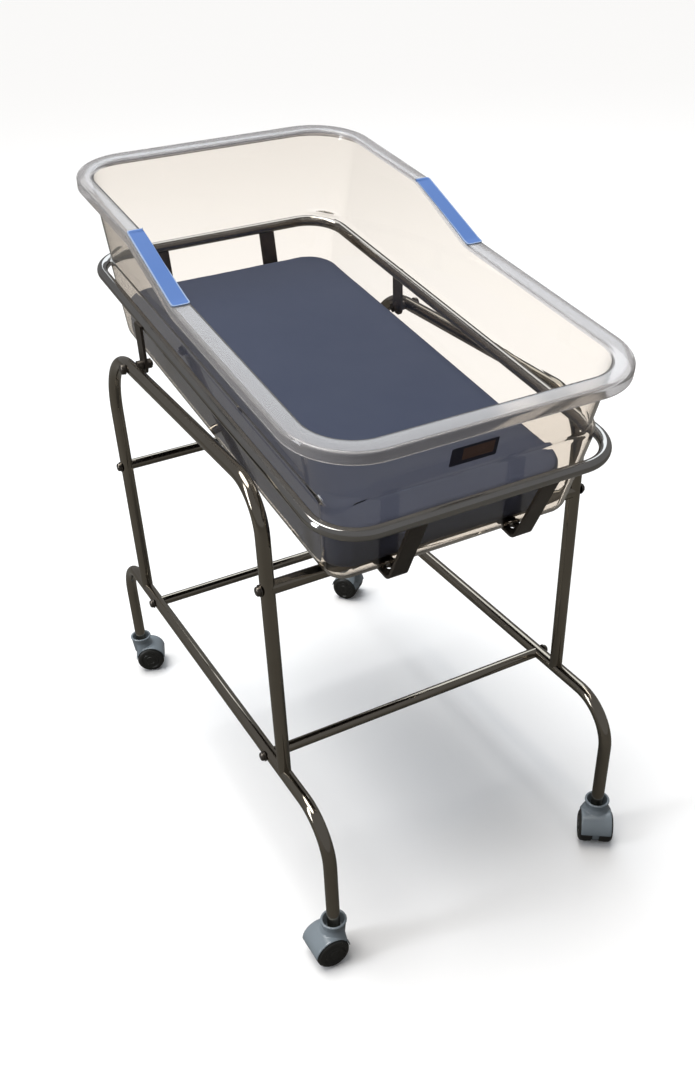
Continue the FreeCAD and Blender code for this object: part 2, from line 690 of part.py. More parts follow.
def rest_pad(label):
    """Rubber saddle on the support bar, its top parallel to the strap above it."""
    item = body(label)
    side_view = sketch_on(item, "YZ_Plane", "side_view")
    half = "dims.pad_length / 2"
    top = "dims.support_bar_od / 2 + dims.pad_thickness - dims.seat_gap"
    corners = [
        (f"-{half}", "0"), (half, "0"),
        (half, f"{top} + {half} * tan({TILT})"), (f"-{half}", f"{top} - {half} * tan({TILT})"),
    ]
    outline(side_view, corners, [None, None, None, None])
    pad(item, side_view, "dims.pad_width", symmetric=True)
    doc.recompute()
    seat = sketch_on(item, "YZ_Plane", "seat")
    circle(seat, ("0", "0"), "dims.support_bar_od / 2")
    pocket_through(item, seat, "seat_cut")
    return item


pad_master = rest_pad("rest_pad_master")
NODES.append(copies("front_rest_pads", [
    (pad_master, f"{side} * dims.strap_reach", "-dims.front_leg_reach", SUPPORT_BAR_Z, "0")
    for _, side in SIDES
]))

# ---------------------------------------------------------------- tub
# Every form below is drawn in the frame of the ring, and the finished tub is placed in it.


def wall_section(name, height, inset, radius):
    """Plan of the walls at a height: straight sides with round corners."""
    sketch = doc.addObject("Sketcher::SketchObject", name)
    place(sketch, z=height)
    side, front, rear = side_reach(height, inset), front_reach(height, inset), rear_reach(height, inset)
    corners = [(f"-{side}", f"-{front}"), (side, f"-{front}"), (side, rear), (f"-{side}", rear)]
    outline(sketch, corners, [f"({radius} - ({inset}))"] * len(corners))
    return sketch


def edges_at(shape, level):
    """Numbers of the edges that lie at a height."""
    return [
        i for i, edge in enumerate(shape.Edges, start=1)
        if max(abs(vertex.Z - level) for vertex in edge.Vertexes) < SAME
    ]


def wall_form(label, low, high, inset, radii, edge_radius=None):
    """Solid between two sections of the walls, its lower edge rounded on request."""
    loft = doc.addObject("Part::Loft", label)
    loft.Sections = [
        wall_section(f"{label}_low", low, inset, radii[0]),
        wall_section(f"{label}_high", high, inset, radii[1]),
    ]
    loft.Solid = True
    loft.Ruled = True
    doc.recompute()
    if edge_radius is None:
        return loft
    rounding = doc.addObject("Part::Fillet", f"{label}_rounded")
    rounding.Base = loft
    radius = value(edge_radius)
    rounding.Edges = [(number, radius, radius) for number in edges_at(loft.Shape, value(low))]
    return rounding


def rim_block(label, inset="0"):
    """Upright block with the outline of the rim, less an inset."""
    item = body(label)
    low = f"dims.front_rim_height - dims.rim_lip_depth - {REACH}"
    sketch = sketch_on(item, "XY_Plane", "plan", low)
    beyond = f"dims.rim_overhang - {inset}"
    side = f"(dims.tub_half_width + {beyond})"
    front = f"(dims.tub_front_reach + {beyond})"
    rear = f"(dims.tub_rear_reach + {beyond})"
    corners = [(f"-{side}", f"-{front}"), (side, f"-{front}"), (side, rear), (f"-{side}", rear)]
    outline(sketch, corners, [f"dims.rim_corner_radius - {inset}"] * len(corners))
    pad(item, sketch, f"dims.rear_rim_height - ({low}) + {REACH}")
    return item


def rim_band(label, low, high):
    """Band that follows the rim's side view, between two offsets from its top."""
    item = body(label)
    sketch = sketch_on(item, "YZ_Plane", "side_view")
    front = f"-(dims.tub_front_reach + dims.rim_overhang + {REACH})"
    rear = f"dims.tub_rear_reach + dims.rim_overhang + {REACH}"
    stations = [
        (front, "dims.front_rim_height"), ("-dims.slope_front", "dims.front_rim_height"),
        ("dims.slope_rear", "dims.rear_rim_height"), (rear, "dims.rear_rim_height"),
    ]
    bend = "dims.slope_blend_radius"
    lower = [(along, f"{height} + {low}") for along, height in stations]
    upper = [(along, f"{height} + {high}") for along, height in reversed(stations)]
    outline(sketch, lower + upper, [None, bend, bend, None, None, bend, bend, None])
    pad(item, sketch, f"2 * (dims.tub_half_width + dims.rim_overhang + {REACH})", symmetric=True)
    return item


SHOULDER = "dims.shoulder_height"
ABOVE = f"dims.rear_rim_height + {REACH}"
STEP_INNER = f"{STEP} + dims.tub_wall"
FLOOR_TOP = "dims.tub_wall - dims.tub_depth"
LEDGE = f"{SHOULDER} + dims.tub_wall"
FOOT_RADII = ["dims.foot_corner_radius"] * 2
outer_form = fuse("tub_outer_form", [
    wall_form(
        "tub_lower_form", "-dims.tub_depth", f"{LEDGE} + dims.tub_wall", STEP,
        FOOT_RADII, "dims.floor_edge_radius",
    ),
    wall_form("tub_upper_form", SHOULDER, ABOVE, "0", [corner_radius(SHOULDER), corner_radius(ABOVE)]),
])
inner_form = fuse("tub_inner_form", [
    wall_form(
        "tub_lower_hollow", FLOOR_TOP, LEDGE, STEP_INNER,
        FOOT_RADII, "dims.floor_edge_radius - dims.tub_wall",
    ),
    wall_form(
        "tub_upper_hollow", LEDGE, ABOVE, "dims.tub_wall",
        [corner_radius(LEDGE), corner_radius(ABOVE)],
    ),
])
below_top = rim_band("tub_trim", f"-(dims.rear_rim_height + dims.tub_depth + {REACH})", "0")
plate_band = rim_band("rim_plate_band", "-dims.tub_wall", "0")
lip_band = rim_band("rim_lip_band", "-dims.rim_lip_depth", "0")
walls = boolean("Common", "tub_walls", outer_form, below_top)
rim_plate = boolean("Common", "rim_plate", rim_block("rim_outline"), plate_band)
lip_outline = boolean("Common", "rim_lip_outline", rim_block("rim_lip_block"), lip_band)
rim_lip = boolean("Cut", "rim_lip", lip_outline, rim_block("rim_lip_core", "dims.rim_lip_wall"))
tub_solid = fuse("tub_solid", [walls, rim_plate, rim_lip])
tub = boolean("Cut", "tub", tub_solid, inner_form)
tub.Refine = True
NODES.append(place_in_cradle(tub))

# ---------------------------------------------------------------- grip pads, label
grip_band = rim_band("grip_band", "0", "dims.grip_thickness")


def grip_pad(label, side):
    """Thin pad that follows the slope of the rim on one side."""
    plan = body(f"{label}_plan")
    sketch = sketch_on(plan, "XY_Plane", "plan", "dims.front_rim_height - dims.grip_thickness")
    inset = "dims.tub_wall - dims.grip_inset"
    inner_front = side_reach("dims.front_rim_height", inset)
    inner_rear = side_reach("dims.rear_rim_height", inset)
    outer = "(dims.tub_half_width + dims.rim_overhang - dims.grip_inset)"
    front, rear = "-(dims.slope_front + dims.grip_overrun)", "dims.slope_rear"
    corners = [(inner_front, front), (outer, front), (outer, rear), (inner_rear, rear)]
    outline(sketch, [(f"{side} * {x}", y) for x, y in corners], ["dims.grip_corner_radius"] * len(corners))
    pad(plan, sketch, f"dims.rear_rim_height - dims.front_rim_height + {REACH}")
    item = boolean("Common", label, plan, grip_band)
    return place_in_cradle(item)


for name, side in SIDES:
    NODES.append(grip_pad(f"grip_pad_{name}", side))

label = doc.addObject("Part::Box", "label_patch")
label.Label = "label_patch"
label.setExpression("Length", "dims.label_width")
label.setExpression("Width", "dims.label_thickness")
label.setExpression("Height", "dims.label_height")
LEAN = "atan(dims.side_taper)"
LABEL_OUT = f"-({front_reach('dims.label_foot_height')} + dims.label_thickness / cos({LEAN}))"
NODES.append(place_in_cradle(
    label, "-(dims.label_shift + dims.label_width / 2)", LABEL_OUT, "dims.label_foot_height", LEAN
))

# ---------------------------------------------------------------- mattress


def mattress(label):
    """Plain cushion form that lies on the floor of the tub."""
    item = body(label)
    seat = f"({FLOOR_TOP} + dims.seat_gap)"
    widest = f"{FLOOR_TOP} + dims.mattress_under_radius"
    side = side_reach(widest, f"{STEP_INNER} + dims.mattress_side_gap")
    front = front_reach(widest, f"{STEP_INNER} + dims.mattress_front_gap")
    rear = rear_reach(widest, f"{STEP_INNER} + dims.mattress_rear_gap")
    plan = sketch_on(item, "XY_Plane", "plan", seat)
    corners = [(f"-{side}", f"-{front}"), (side, f"-{front}"), (side, rear), (f"-{side}", rear)]
    outline(plan, corners, ["dims.mattress_corner_radius"] * len(corners))
    block = pad(item, plan, "dims.mattress_thickness")
    doc.recompute()
    levels = (
        (value(seat), "dims.mattress_under_radius"),
        (value(seat) + value("dims.mattress_thickness"), "dims.mattress_over_radius"),
    )
    for level, radius in levels:
        rounding = item.newObject("PartDesign::Fillet", "rounding")
        rounding.Base = (block, [f"Edge{number}" for number in edges_at(block.Shape, level)])
        rounding.Radius = value(radius)
        rounding.setExpression("Radius", radius)
        doc.recompute()
        block = rounding
    return place_in_cradle(item)


NODES.append(mattress("mattress"))

# ---------------------------------------------------------------- casters
WHEEL_R = "(dims.wheel_diameter / 2)"
WHEEL_INNER = "(dims.web_thickness / 2 + dims.web_gap)"
AXLE_HALF = "(dims.caster_width / 2 - dims.axle_setback)"


def stem(label):
    """Pin with a collar below the foot and a plug inside it. Its axis is drawn along X."""
    item = body(f"{label}_upright")
    profile = sketch_on(item, "XY_Plane", "profile")
    pin_r = "dims.stem_diameter / 2"
    collar_r = "dims.stem_collar_diameter / 2"
    plug_r = f"{TUBE_R} - dims.tube_wall - dims.plug_gap"
    collar = "dims.cup_floor_height + dims.seat_gap"
    top = "dims.foot_end_height + dims.stem_plug_length"
    corners = [
        ("dims.stem_foot_height", "0"), ("dims.stem_foot_height", pin_r), (collar, pin_r),
        (collar, collar_r), ("dims.foot_end_height", collar_r), ("dims.foot_end_height", plug_r),
        (top, plug_r), (top, "0"),
    ]
    outline(profile, corners, [None] * len(corners))
    revolve(item, profile)
    upright = FreeCAD.Rotation(vector(0, 1, 0), -90)
    item.Placement = FreeCAD.Placement(vector(0, 0, 0), upright)
    group = doc.addObject("Part::Compound", label)
    group.Label = label
    group.Links = [item]
    return group


def across(name, radius, half_length, x, z):
    """Cylinder across the caster, centred on its middle plane."""
    return cylinder(name, radius, f"2 * ({half_length})", x, half_length, z, X_AXIS, "90")


def cone(name, low_radius, high_radius, low, high):
    item = doc.addObject("Part::Cone", name)
    item.setExpression("Radius1", low_radius)
    item.setExpression("Radius2", high_radius)
    item.setExpression("Height", f"{high} - {low}")
    return place(item, z=low)


def hood(label):
    """Guard over both wheels, a web between them and a cup round the foot."""
    trail = "dims.caster_trail"
    inner_r = f"{WHEEL_R} + dims.hood_gap"
    outer_r = f"{inner_r} + dims.hood_wall"
    half = "dims.hood_width / 2"
    web_half = "dims.web_thickness / 2"
    flare = (
        "(dims.cup_top_diameter - dims.cup_root_diameter) / 2"
        " / (dims.cup_top_height - dims.cup_root_height)"
    )
    cup_floor_r = (
        f"dims.cup_root_diameter / 2 + {flare} * (dims.cup_floor_height - dims.cup_root_height)"
        " - dims.hood_wall"
    )
    def kept_above(height, form):
        """The part of a form that lies above a height."""
        block = doc.addObject("Part::Box", f"{form.Label}_trim")
        block.setExpression("Length", f"2 * ({outer_r} + {REACH})")
        block.setExpression("Width", f"2 * ({half} + {REACH})")
        block.setExpression("Height", f"{height} + {REACH}")
        place(block, f"{trail} - ({outer_r} + {REACH})", f"-({half} + {REACH})", f"-{REACH}")
        return boolean("Cut", f"{form.Label}_kept", form, block)

    guard = kept_above("dims.hood_edge_height", across(f"{label}_guard", outer_r, half, trail, WHEEL_R))
    web_r = f"{WHEEL_R} - dims.web_inset"
    web = kept_above("dims.web_edge_height", across(f"{label}_web", web_r, web_half, trail, WHEEL_R))
    cup = cone(
        f"{label}_cup", "dims.cup_root_diameter / 2", "dims.cup_top_diameter / 2",
        "dims.cup_root_height", "dims.cup_top_height",
    )
    solid = fuse(f"{label}_solid", [guard, cup, web])
    cuts = []
    for side, name in ((1, "a"), (-1, "b")):
        cuts.append(cylinder(
            f"{label}_room_{name}", inner_r, f"{half} - {web_half} + {REACH}",
            trail, f"{side} * {web_half}", WHEEL_R, X_AXIS, f"-90 * {side}",
        ))
    cuts.append(cone(
        f"{label}_hollow", cup_floor_r, "dims.cup_top_diameter / 2 - dims.hood_wall",
        "dims.cup_floor_height", "dims.cup_top_height",
    ))
    bore_foot = "dims.stem_foot_height - dims.seat_gap"
    cuts.append(cylinder(
        f"{label}_bore", "dims.stem_diameter / 2 + dims.swivel_gap",
        f"dims.cup_floor_height - ({bore_foot}) + dims.seat_gap", z=bore_foot,
    ))
    cuts.append(across(f"{label}_axle_bore", "dims.axle_diameter / 2", half, trail, WHEEL_R))
    return boolean("Cut", label, solid, fuse(f"{label}_cuts", cuts, refine=False))


def wheel(label):
    """Wheel revolved about Y, its inner face towards the middle of the caster at y = 0."""
    item = body(label)
    profile = sketch_on(item, "YZ_Plane", "profile")
    bore = "dims.axle_diameter / 2 + dims.axle_gap"
    bore_end = f"{AXLE_HALF} + dims.seat_gap"
    outer = "dims.caster_width / 2"
    edge = "dims.wheel_edge_radius"
    corners = [
        (WHEEL_INNER, bore), (bore_end, bore), (bore_end, "0"), (outer, "0"),
        (outer, WHEEL_R), (WHEEL_INNER, WHEEL_R),
    ]
    outline(profile, corners, [None, None, None, None, edge, "dims.wheel_inner_edge_radius"])
    revolve(item, profile)
    return item


CORNERS = {
    "front_left": (-1, "-dims.foot_reach"),
    "front_right": (1, "-dims.foot_reach"),
    "rear_left": (-1, "dims.foot_reach"),
    "rear_right": (1, "dims.foot_reach"),
}
for corner, (side, y) in CORNERS.items():
    x = f"{side} * {RAIL_X}"
    heading = f"dims.{corner}_heading"
    axle_x = f"{x} + dims.caster_trail * cos({heading})"
    axle_y = f"{y} + dims.caster_trail * sin({heading})"
    NODES.append(place(stem(f"caster_stem_{corner}"), x, y))
    NODES.append(place(hood(f"caster_hood_{corner}"), x, y, "0", Z_AXIS, heading))
    axle = doc.addObject("Part::Compound", f"caster_axle_{corner}")
    axle.Label = f"caster_axle_{corner}"
    axle.Links = [across(f"axle_pin_{corner}", "dims.axle_diameter / 2", AXLE_HALF, "0", "0")]
    NODES.append(place(axle, axle_x, axle_y, WHEEL_R, Z_AXIS, heading))
    for name, turn in (("inner", "0"), ("outer", "180")):
        item = wheel(f"wheel_{corner}_{name}")
        NODES.append(place(item, axle_x, axle_y, WHEEL_R, Z_AXIS, f"{heading} + {turn}"))

# ---------------------------------------------------------------- checks and export
doc.recompute()
for item in doc.Objects:
    if {"Invalid", "Error"} & set(item.State):
        raise RuntimeError(f"{item.Label} failed: {item.State}")
os.makedirs("parts", exist_ok=True)
for item in NODES:
    shape = item.Shape
    if shape.isNull() or not shape.isValid() or not shape.Solids:
        raise RuntimeError(f"{item.Label} has no valid solid")
    shape.exportStep(f"parts/{item.Label}.step")
print(len(NODES), "sub-parts")
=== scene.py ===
# %% [markdown]
# # A hospital bassinet
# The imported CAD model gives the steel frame, the cradle and the fasteners at their real size.
# This lesson dresses it: better finishes for the metal, and new meshes for the pieces whose
# looks depend on soft edges, which are the clear tub, the grips, the mattress and the casters.

# %% Load the frame
import math

import bpy
from mathutils import Matrix, Vector


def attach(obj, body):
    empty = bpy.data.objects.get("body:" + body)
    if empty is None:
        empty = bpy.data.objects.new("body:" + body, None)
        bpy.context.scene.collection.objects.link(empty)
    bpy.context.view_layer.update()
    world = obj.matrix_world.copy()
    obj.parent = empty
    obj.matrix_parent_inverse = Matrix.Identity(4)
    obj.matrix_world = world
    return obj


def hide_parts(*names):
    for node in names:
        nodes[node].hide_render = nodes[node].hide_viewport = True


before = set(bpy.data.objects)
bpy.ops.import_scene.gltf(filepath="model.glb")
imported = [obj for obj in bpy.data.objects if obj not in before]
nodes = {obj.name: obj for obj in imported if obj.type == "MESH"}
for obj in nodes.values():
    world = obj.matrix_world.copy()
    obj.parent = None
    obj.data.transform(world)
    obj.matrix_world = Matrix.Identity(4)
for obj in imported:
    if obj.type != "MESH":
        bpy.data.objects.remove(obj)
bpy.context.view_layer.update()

# %% [markdown]
# ## Small tools
# Every piece below is made as by hand: a primitive, edit-mode operators and modifiers. The
# helpers keep one piece selected at a time and pick its vertices, faces or sharp edges by
# their place, because an operator acts on all that is selected.

# %% Selecting
MM = 0.001
TINY = 0.05 * MM


def only(piece):
    """Leave edit mode and make one piece the only selected object."""
    if bpy.context.object and bpy.context.object.mode != "OBJECT":
        bpy.ops.object.mode_set(mode="OBJECT")
    bpy.ops.object.select_all(action="DESELECT")
    piece.select_set(True)
    bpy.context.view_layer.objects.active = piece


def select_in(piece, kind, points, edges, faces):
    """Select these vertices, edges and faces, and go into edit mode."""
    only(piece)
    # the kind is set first: on the way into edit mode the rest follows from what it selects
    bpy.context.tool_settings.mesh_select_mode = [kind == k for k in ("VERT", "EDGE", "FACE")]
    mesh = piece.data
    mesh.vertices.foreach_set("select", [v.index in points for v in mesh.vertices])
    mesh.edges.foreach_set("select", [e.index in edges for e in mesh.edges])
    mesh.polygons.foreach_set("select", [f.index in faces for f in mesh.polygons])
    bpy.ops.object.mode_set(mode="EDIT")


def pick(piece, test):
    """Select the vertices that pass a test of their place."""
    only(piece)
    mesh = piece.data
    points = {v.index for v in mesh.vertices if test(v.co)}
    edges = {e.index for e in mesh.edges if points.issuperset(e.vertices)}
    faces = {f.index for f in mesh.polygons if points.issuperset(f.vertices)}
    select_in(piece, "VERT", points, edges, faces)
    return len(points)


def pick_faces(piece, test):
    """Select the faces that pass a test of their centre and normal."""
    only(piece)
    mesh = piece.data
    faces = [f for f in mesh.polygons if test(f.center, f.normal)]
    points = {v for f in faces for v in f.vertices}
    keys = {k for f in faces for k in f.edge_keys}
    edges = {e.index for e in mesh.edges if e.key in keys}
    select_in(piece, "FACE", points, edges, {f.index for f in faces})
    return len(faces)


def pick_sharp(piece, test, least=math.radians(35)):
    """Select the edges whose faces turn more than an angle and whose ends pass a test."""
    only(piece)
    mesh = piece.data
    normals = {}
    for face in mesh.polygons:
        for key in face.edge_keys:
            normals.setdefault(key, []).append(face.normal)
    edges = [
        e for e in mesh.edges
        if len(normals.get(e.key, ())) == 2
        and normals[e.key][0].angle(normals[e.key][1], 0) > least
        and all(test(mesh.vertices[v].co) for v in e.vertices)
    ]
    points = {v for e in edges for v in e.vertices}
    select_in(piece, "EDGE", points, {e.index for e in edges}, set())
    return len(edges)


def modify(piece, kind, **settings):
    """Add a modifier and apply it."""
    only(piece)
    modifier = piece.modifiers.new(kind.lower(), kind)
    for name, value in settings.items():
        setattr(modifier, name, value)
    bpy.ops.object.modifier_apply(modifier=modifier.name)


# %% Making, joining and finishing
def start(name, primitive, **size):
    """Add a primitive with nothing else selected, and name it."""
    bpy.ops.object.select_all(action="DESELECT")
    primitive(**size)
    piece = bpy.context.object
    piece.name = name
    bpy.ops.object.transform_apply(location=True, rotation=True, scale=True)
    return piece


def copy_of(piece, name, matrix=Matrix.Identity(4)):
    """A copy with its own mesh, moved by a matrix."""
    only(piece)
    bpy.ops.object.duplicate(linked=False)
    twin = bpy.context.object
    twin.name = name
    twin.matrix_world = matrix
    bpy.ops.object.transform_apply(location=True, rotation=True, scale=True)
    return twin


def join(name, pieces):
    """Join pieces into the first of them."""
    only(pieces[0])
    for piece in pieces[1:]:
        piece.select_set(True)
    bpy.ops.object.join()
    pieces[0].name = name
    return pieces[0]


def outward(piece):
    """Merge doubled points and point all faces outwards."""
    pick(piece, lambda co: True)
    bpy.ops.mesh.remove_doubles(threshold=0.01 * MM)
    bpy.ops.mesh.normals_make_consistent(inside=False)
    only(piece)


def dress(piece, body, materials, replaced=(), smooth=30):
    """Shade a finished piece, give it its materials, and let it ride on its body."""
    only(piece)
    bpy.ops.object.shade_smooth_by_angle(angle=math.radians(smooth))
    if not piece.data.materials:
        for material in materials:
            piece.data.materials.append(material)
    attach(piece, body)
    if replaced:
        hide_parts(*replaced)
    print(piece.name, "rides on", body, "with", len(piece.data.polygons), "faces")
    return piece


# %% [markdown]
# ## Where the cradle is
# The ring, the tub and all that is in it lean head-up by one angle. Their pieces are drawn
# level, with the middle of the ring at the origin, and then moved by this one matrix.

# %% The frame of the cradle
CRADLE_TILT = math.radians(7.9)
CRADLE_MIDDLE = Vector((0.0, 9.8, 721.4)) * MM
CRADLE = Matrix.Translation(CRADLE_MIDDLE) @ Matrix.Rotation(CRADLE_TILT, 4, "X")


def seat_in_cradle(piece):
    """Move a piece from the level drawing into the tilted cradle."""
    only(piece)
    piece.matrix_world = CRADLE
    bpy.ops.object.transform_apply(location=True, rotation=True, scale=True)
    return piece


print("cradle leans", round(math.degrees(CRADLE_TILT), 1), "degrees")

# %% [markdown]
# ## Camera
# The eye is in front of the foot end, to the left, and a little above the rim. The lens is
# a short normal one. A small upward shift keeps the legs from leaning.

# %% Camera
EYE = Vector((-0.65616, -1.29932, 1.28738))
GAZE = Vector((0.3638, 0.7109, -0.6018)).normalized()
ROLL = math.radians(-2.452)
LENS_MM = 36.37
LENS_SHIFT = 0.1043

level_right = GAZE.cross(Vector((0, 0, 1))).normalized()
level_up = level_right.cross(GAZE)
right = math.cos(ROLL) * level_right + math.sin(ROLL) * level_up
up = right.cross(GAZE)
view = bpy.data.cameras.new("view")
view.sensor_width = 36
view.lens = LENS_MM
view.shift_y = LENS_SHIFT
camera = bpy.data.objects.new("camera", view)
camera.matrix_world = Matrix.Translation(EYE) @ Matrix((right, up, -GAZE)).transposed().to_4x4()
bpy.context.scene.collection.objects.link(camera)
bpy.context.scene.camera = camera
print("camera turns", [round(math.degrees(a), 1) for a in camera.rotation_euler])

# %% [markdown]
# ## Floor and light
# Chrome shows nothing but its surroundings, so the light matters as much as the metal. A sun
# with a wide disc stands for a lit ceiling: it draws one bright line along every tube, keeps
# the shadows soft and lights the floor evenly to its edges. A panel on the left edges the
# legs, a skylight behind brightens what faces up, and an even, dim sky fills the rest. The
# floor is pale, but mirrored and bounced light meets a darker one: a white floor in the metal
# would turn chrome into paint. The Standard view keeps dark metal dark and the floor pale.

# %% Floor and light
FLOOR_SIZE = 60
FLOOR_PALE, FLOOR_MIRRORED = (0.93, 0.93, 0.93, 1), (0.12, 0.115, 0.105, 1)
floor = start("floor", bpy.ops.mesh.primitive_plane_add, size=FLOOR_SIZE, location=(0, 0, 0))
pale = bpy.data.materials.new("pale_floor")
pale.use_nodes = True
tree = pale.node_tree
matt = tree.nodes["Principled BSDF"]
matt.inputs["Roughness"].default_value = 0.9
# any bounce off metal, plastic or cloth makes this sum at least one, and clamping keeps it there
path = tree.nodes.new("ShaderNodeLightPath")
bounced = tree.nodes.new("ShaderNodeMath")
bounced.use_clamp = True
tree.links.new(path.outputs["Diffuse Depth"], bounced.inputs[0])
tree.links.new(path.outputs["Glossy Depth"], bounced.inputs[1])
tone = tree.nodes.new("ShaderNodeMix")
tone.data_type = "RGBA"
tone.inputs["A"].default_value, tone.inputs["B"].default_value = FLOOR_PALE, FLOOR_MIRRORED
tree.links.new(bounced.outputs["Value"], tone.inputs["Factor"])
tree.links.new(tone.outputs["Result"], matt.inputs["Base Color"])
floor.data.materials.append(pale)
bpy.context.scene.view_settings.view_transform = "Standard"


def light(name, kind, place, aim, energy, colour=(1, 1, 1), **settings):
    """A lamp at a place, aimed at a point."""
    data = bpy.data.lights.new(name, kind)
    data.energy = energy
    data.color = colour
    for label, value in settings.items():
        setattr(data, label, value)
    item = bpy.data.objects.new(name, data)
    away = Vector(place) - Vector(aim)
    item.matrix_world = Matrix.Translation(place) @ away.to_track_quat("Z", "Y").to_matrix().to_4x4()
    # a lamp seen through the clear tub would look like a bright panel in its wall
    item.visible_transmission = False
    bpy.context.scene.collection.objects.link(item)


MIDDLE = (0, 0, 0.55)
light("ceiling", "SUN", (-0.5, 0.6, 3.2), MIDDLE, 2.6, (1.0, 0.985, 0.96), angle=math.radians(40))
panel = {"shape": "RECTANGLE", "size": 0.6, "size_y": 2.2}
light("window", "AREA", (-2.9, 0.2, 1.7), MIDDLE, 40, (0.93, 0.96, 1.0), **panel)
skylight = {"shape": "RECTANGLE", "size": 2.6, "size_y": 2.4}
light("skylight", "AREA", (1.3, 1.9, 3.4), (0, 0, 0.75), 46, (0.86, 0.93, 1.0), **skylight)

world = bpy.data.worlds.new("studio")
world.use_nodes = True
bpy.context.scene.world = world
sky = world.node_tree.nodes["Background"]
sky.inputs["Color"].default_value = (0.96, 0.97, 1.0, 1)
sky.inputs["Strength"].default_value = 0.27
print("3 lamps and an even sky")

# %% [markdown]
# ## Finishes
# Real surfaces are never one flat value. Three small node groups give the variation that
# all the finishes share: a cloudy haze, fine rubbed scratches and a moulded or woven grain.
# Each finish places a group with its own scale and amounts.

# %% Tools for materials
def new_material(name, **values):
    """A material with a Principled shader and the given plain values."""
    material = bpy.data.materials.new(name)
    material.use_nodes = True
    shader = material.node_tree.nodes["Principled BSDF"]
    for socket, value in values.items():
        shader.inputs[socket.replace("_", " ")].default_value = value
    return material, material.node_tree, shader


def new_group(name, inputs, outputs):
    """An empty node group with float inputs (name: default) and named outputs."""
    group = bpy.data.node_groups.new(name, "ShaderNodeTree")
    for label, default in inputs.items():
        socket = group.interface.new_socket(label, in_out="INPUT", socket_type="NodeSocketFloat")
        socket.default_value = default
    group.interface.new_socket("Place", in_out="INPUT", socket_type="NodeSocketVector")
    for label in outputs:
        group.interface.new_socket(label, in_out="OUTPUT", socket_type="NodeSocketFloat")
    ins = group.nodes.new("NodeGroupInput")
    outs = group.nodes.new("NodeGroupOutput")
    return group, ins.outputs, outs.inputs


def node(tree, kind, inputs=None, **settings):
    """Add a node, set its properties, and link or set its inputs."""
    item = tree.nodes.new("ShaderNode" + kind)
    for name, value in settings.items():
        setattr(item, name, value)
    for name, value in (inputs or {}).items():
        if isinstance(value, bpy.types.NodeSocket):
            tree.links.new(value, item.inputs[name])
        else:
            item.inputs[name].default_value = value
    return item


def use(tree, group, **values):
    """Place a node group that reads Object coordinates, with its own values."""
    item = tree.nodes.new("ShaderNodeGroup")
    item.node_tree = group
    where = tree.nodes.new("ShaderNodeTexCoord")
    tree.links.new(where.outputs["Object"], item.inputs["Place"])
    for name, value in values.items():
        item.inputs[name].default_value = value
    return item.outputs


def blend_colours(tree, factor, first, second):
    """Mix two colours by a mask."""
    mix = node(tree, "Mix", data_type="RGBA")
    tree.links.new(factor, mix.inputs["Factor"])
    mix.inputs["A"].default_value = first
    mix.inputs["B"].default_value = second
    return mix.outputs["Result"]


def relief(tree, shader, height, strength, depth):
    """Feed a height into the shader's normal."""
    bump = node(tree, "Bump", {"Strength": strength, "Distance": depth, "Height": height})
    tree.links.new(bump.outputs["Normal"], shader.inputs["Normal"])


# %% Haze, scratches and grain
haze, given, result = new_group("haze", {"Scale": 9.0, "Low": 0.05, "High": 0.2}, ["Value", "Mask"])
clouds = node(haze, "TexNoise", {"Scale": given["Scale"], "Detail": 5.0, "Roughness": 0.6})
haze.links.new(given["Place"], clouds.inputs["Vector"])
span = node(haze, "MapRange", {"From Min": 0.3, "From Max": 0.7})
haze.links.new(clouds.outputs["Fac"], span.inputs["Value"])
haze.links.new(given["Low"], span.inputs["To Min"])
haze.links.new(given["High"], span.inputs["To Max"])
haze.links.new(span.outputs["Result"], result["Value"])
haze.links.new(clouds.outputs["Fac"], result["Mask"])

scratches, given, result = new_group("scratches", {"Scale": 60.0, "Stretch": 12.0}, ["Height"])
longways = node(scratches, "CombineXYZ", {"X": 1.0, "Z": 1.0})
scratches.links.new(given["Stretch"], longways.inputs["Y"])
drawn = node(scratches, "VectorMath", operation="MULTIPLY")
scratches.links.new(given["Place"], drawn.inputs[0])
scratches.links.new(longways.outputs["Vector"], drawn.inputs[1])
marks = node(scratches, "TexNoise", {"Scale": given["Scale"], "Detail": 3.0, "Roughness": 0.7})
scratches.links.new(drawn.outputs["Vector"], marks.inputs["Vector"])
scratches.links.new(marks.outputs["Fac"], result["Height"])

grain_inputs = {"Scale": 900.0, "Wide Scale": 25.0, "Wide Share": 0.5}
grain, given, result = new_group("grain", grain_inputs, ["Height"])
fine = node(grain, "TexNoise", {"Scale": given["Scale"], "Detail": 2.0})
wide = node(grain, "TexNoise", {"Scale": given["Wide Scale"], "Detail": 2.0})
grain.links.new(given["Place"], fine.inputs["Vector"])
grain.links.new(given["Place"], wide.inputs["Vector"])
both = node(grain, "Mix", data_type="FLOAT")
grain.links.new(given["Wide Share"], both.inputs["Factor"])
grain.links.new(fine.outputs["Fac"], both.inputs["A"])
grain.links.new(wide.outputs["Fac"], both.inputs["B"])
grain.links.new(both.outputs["Result"], result["Height"])
print("groups:", [group.name for group in (haze, scratches, grain)])
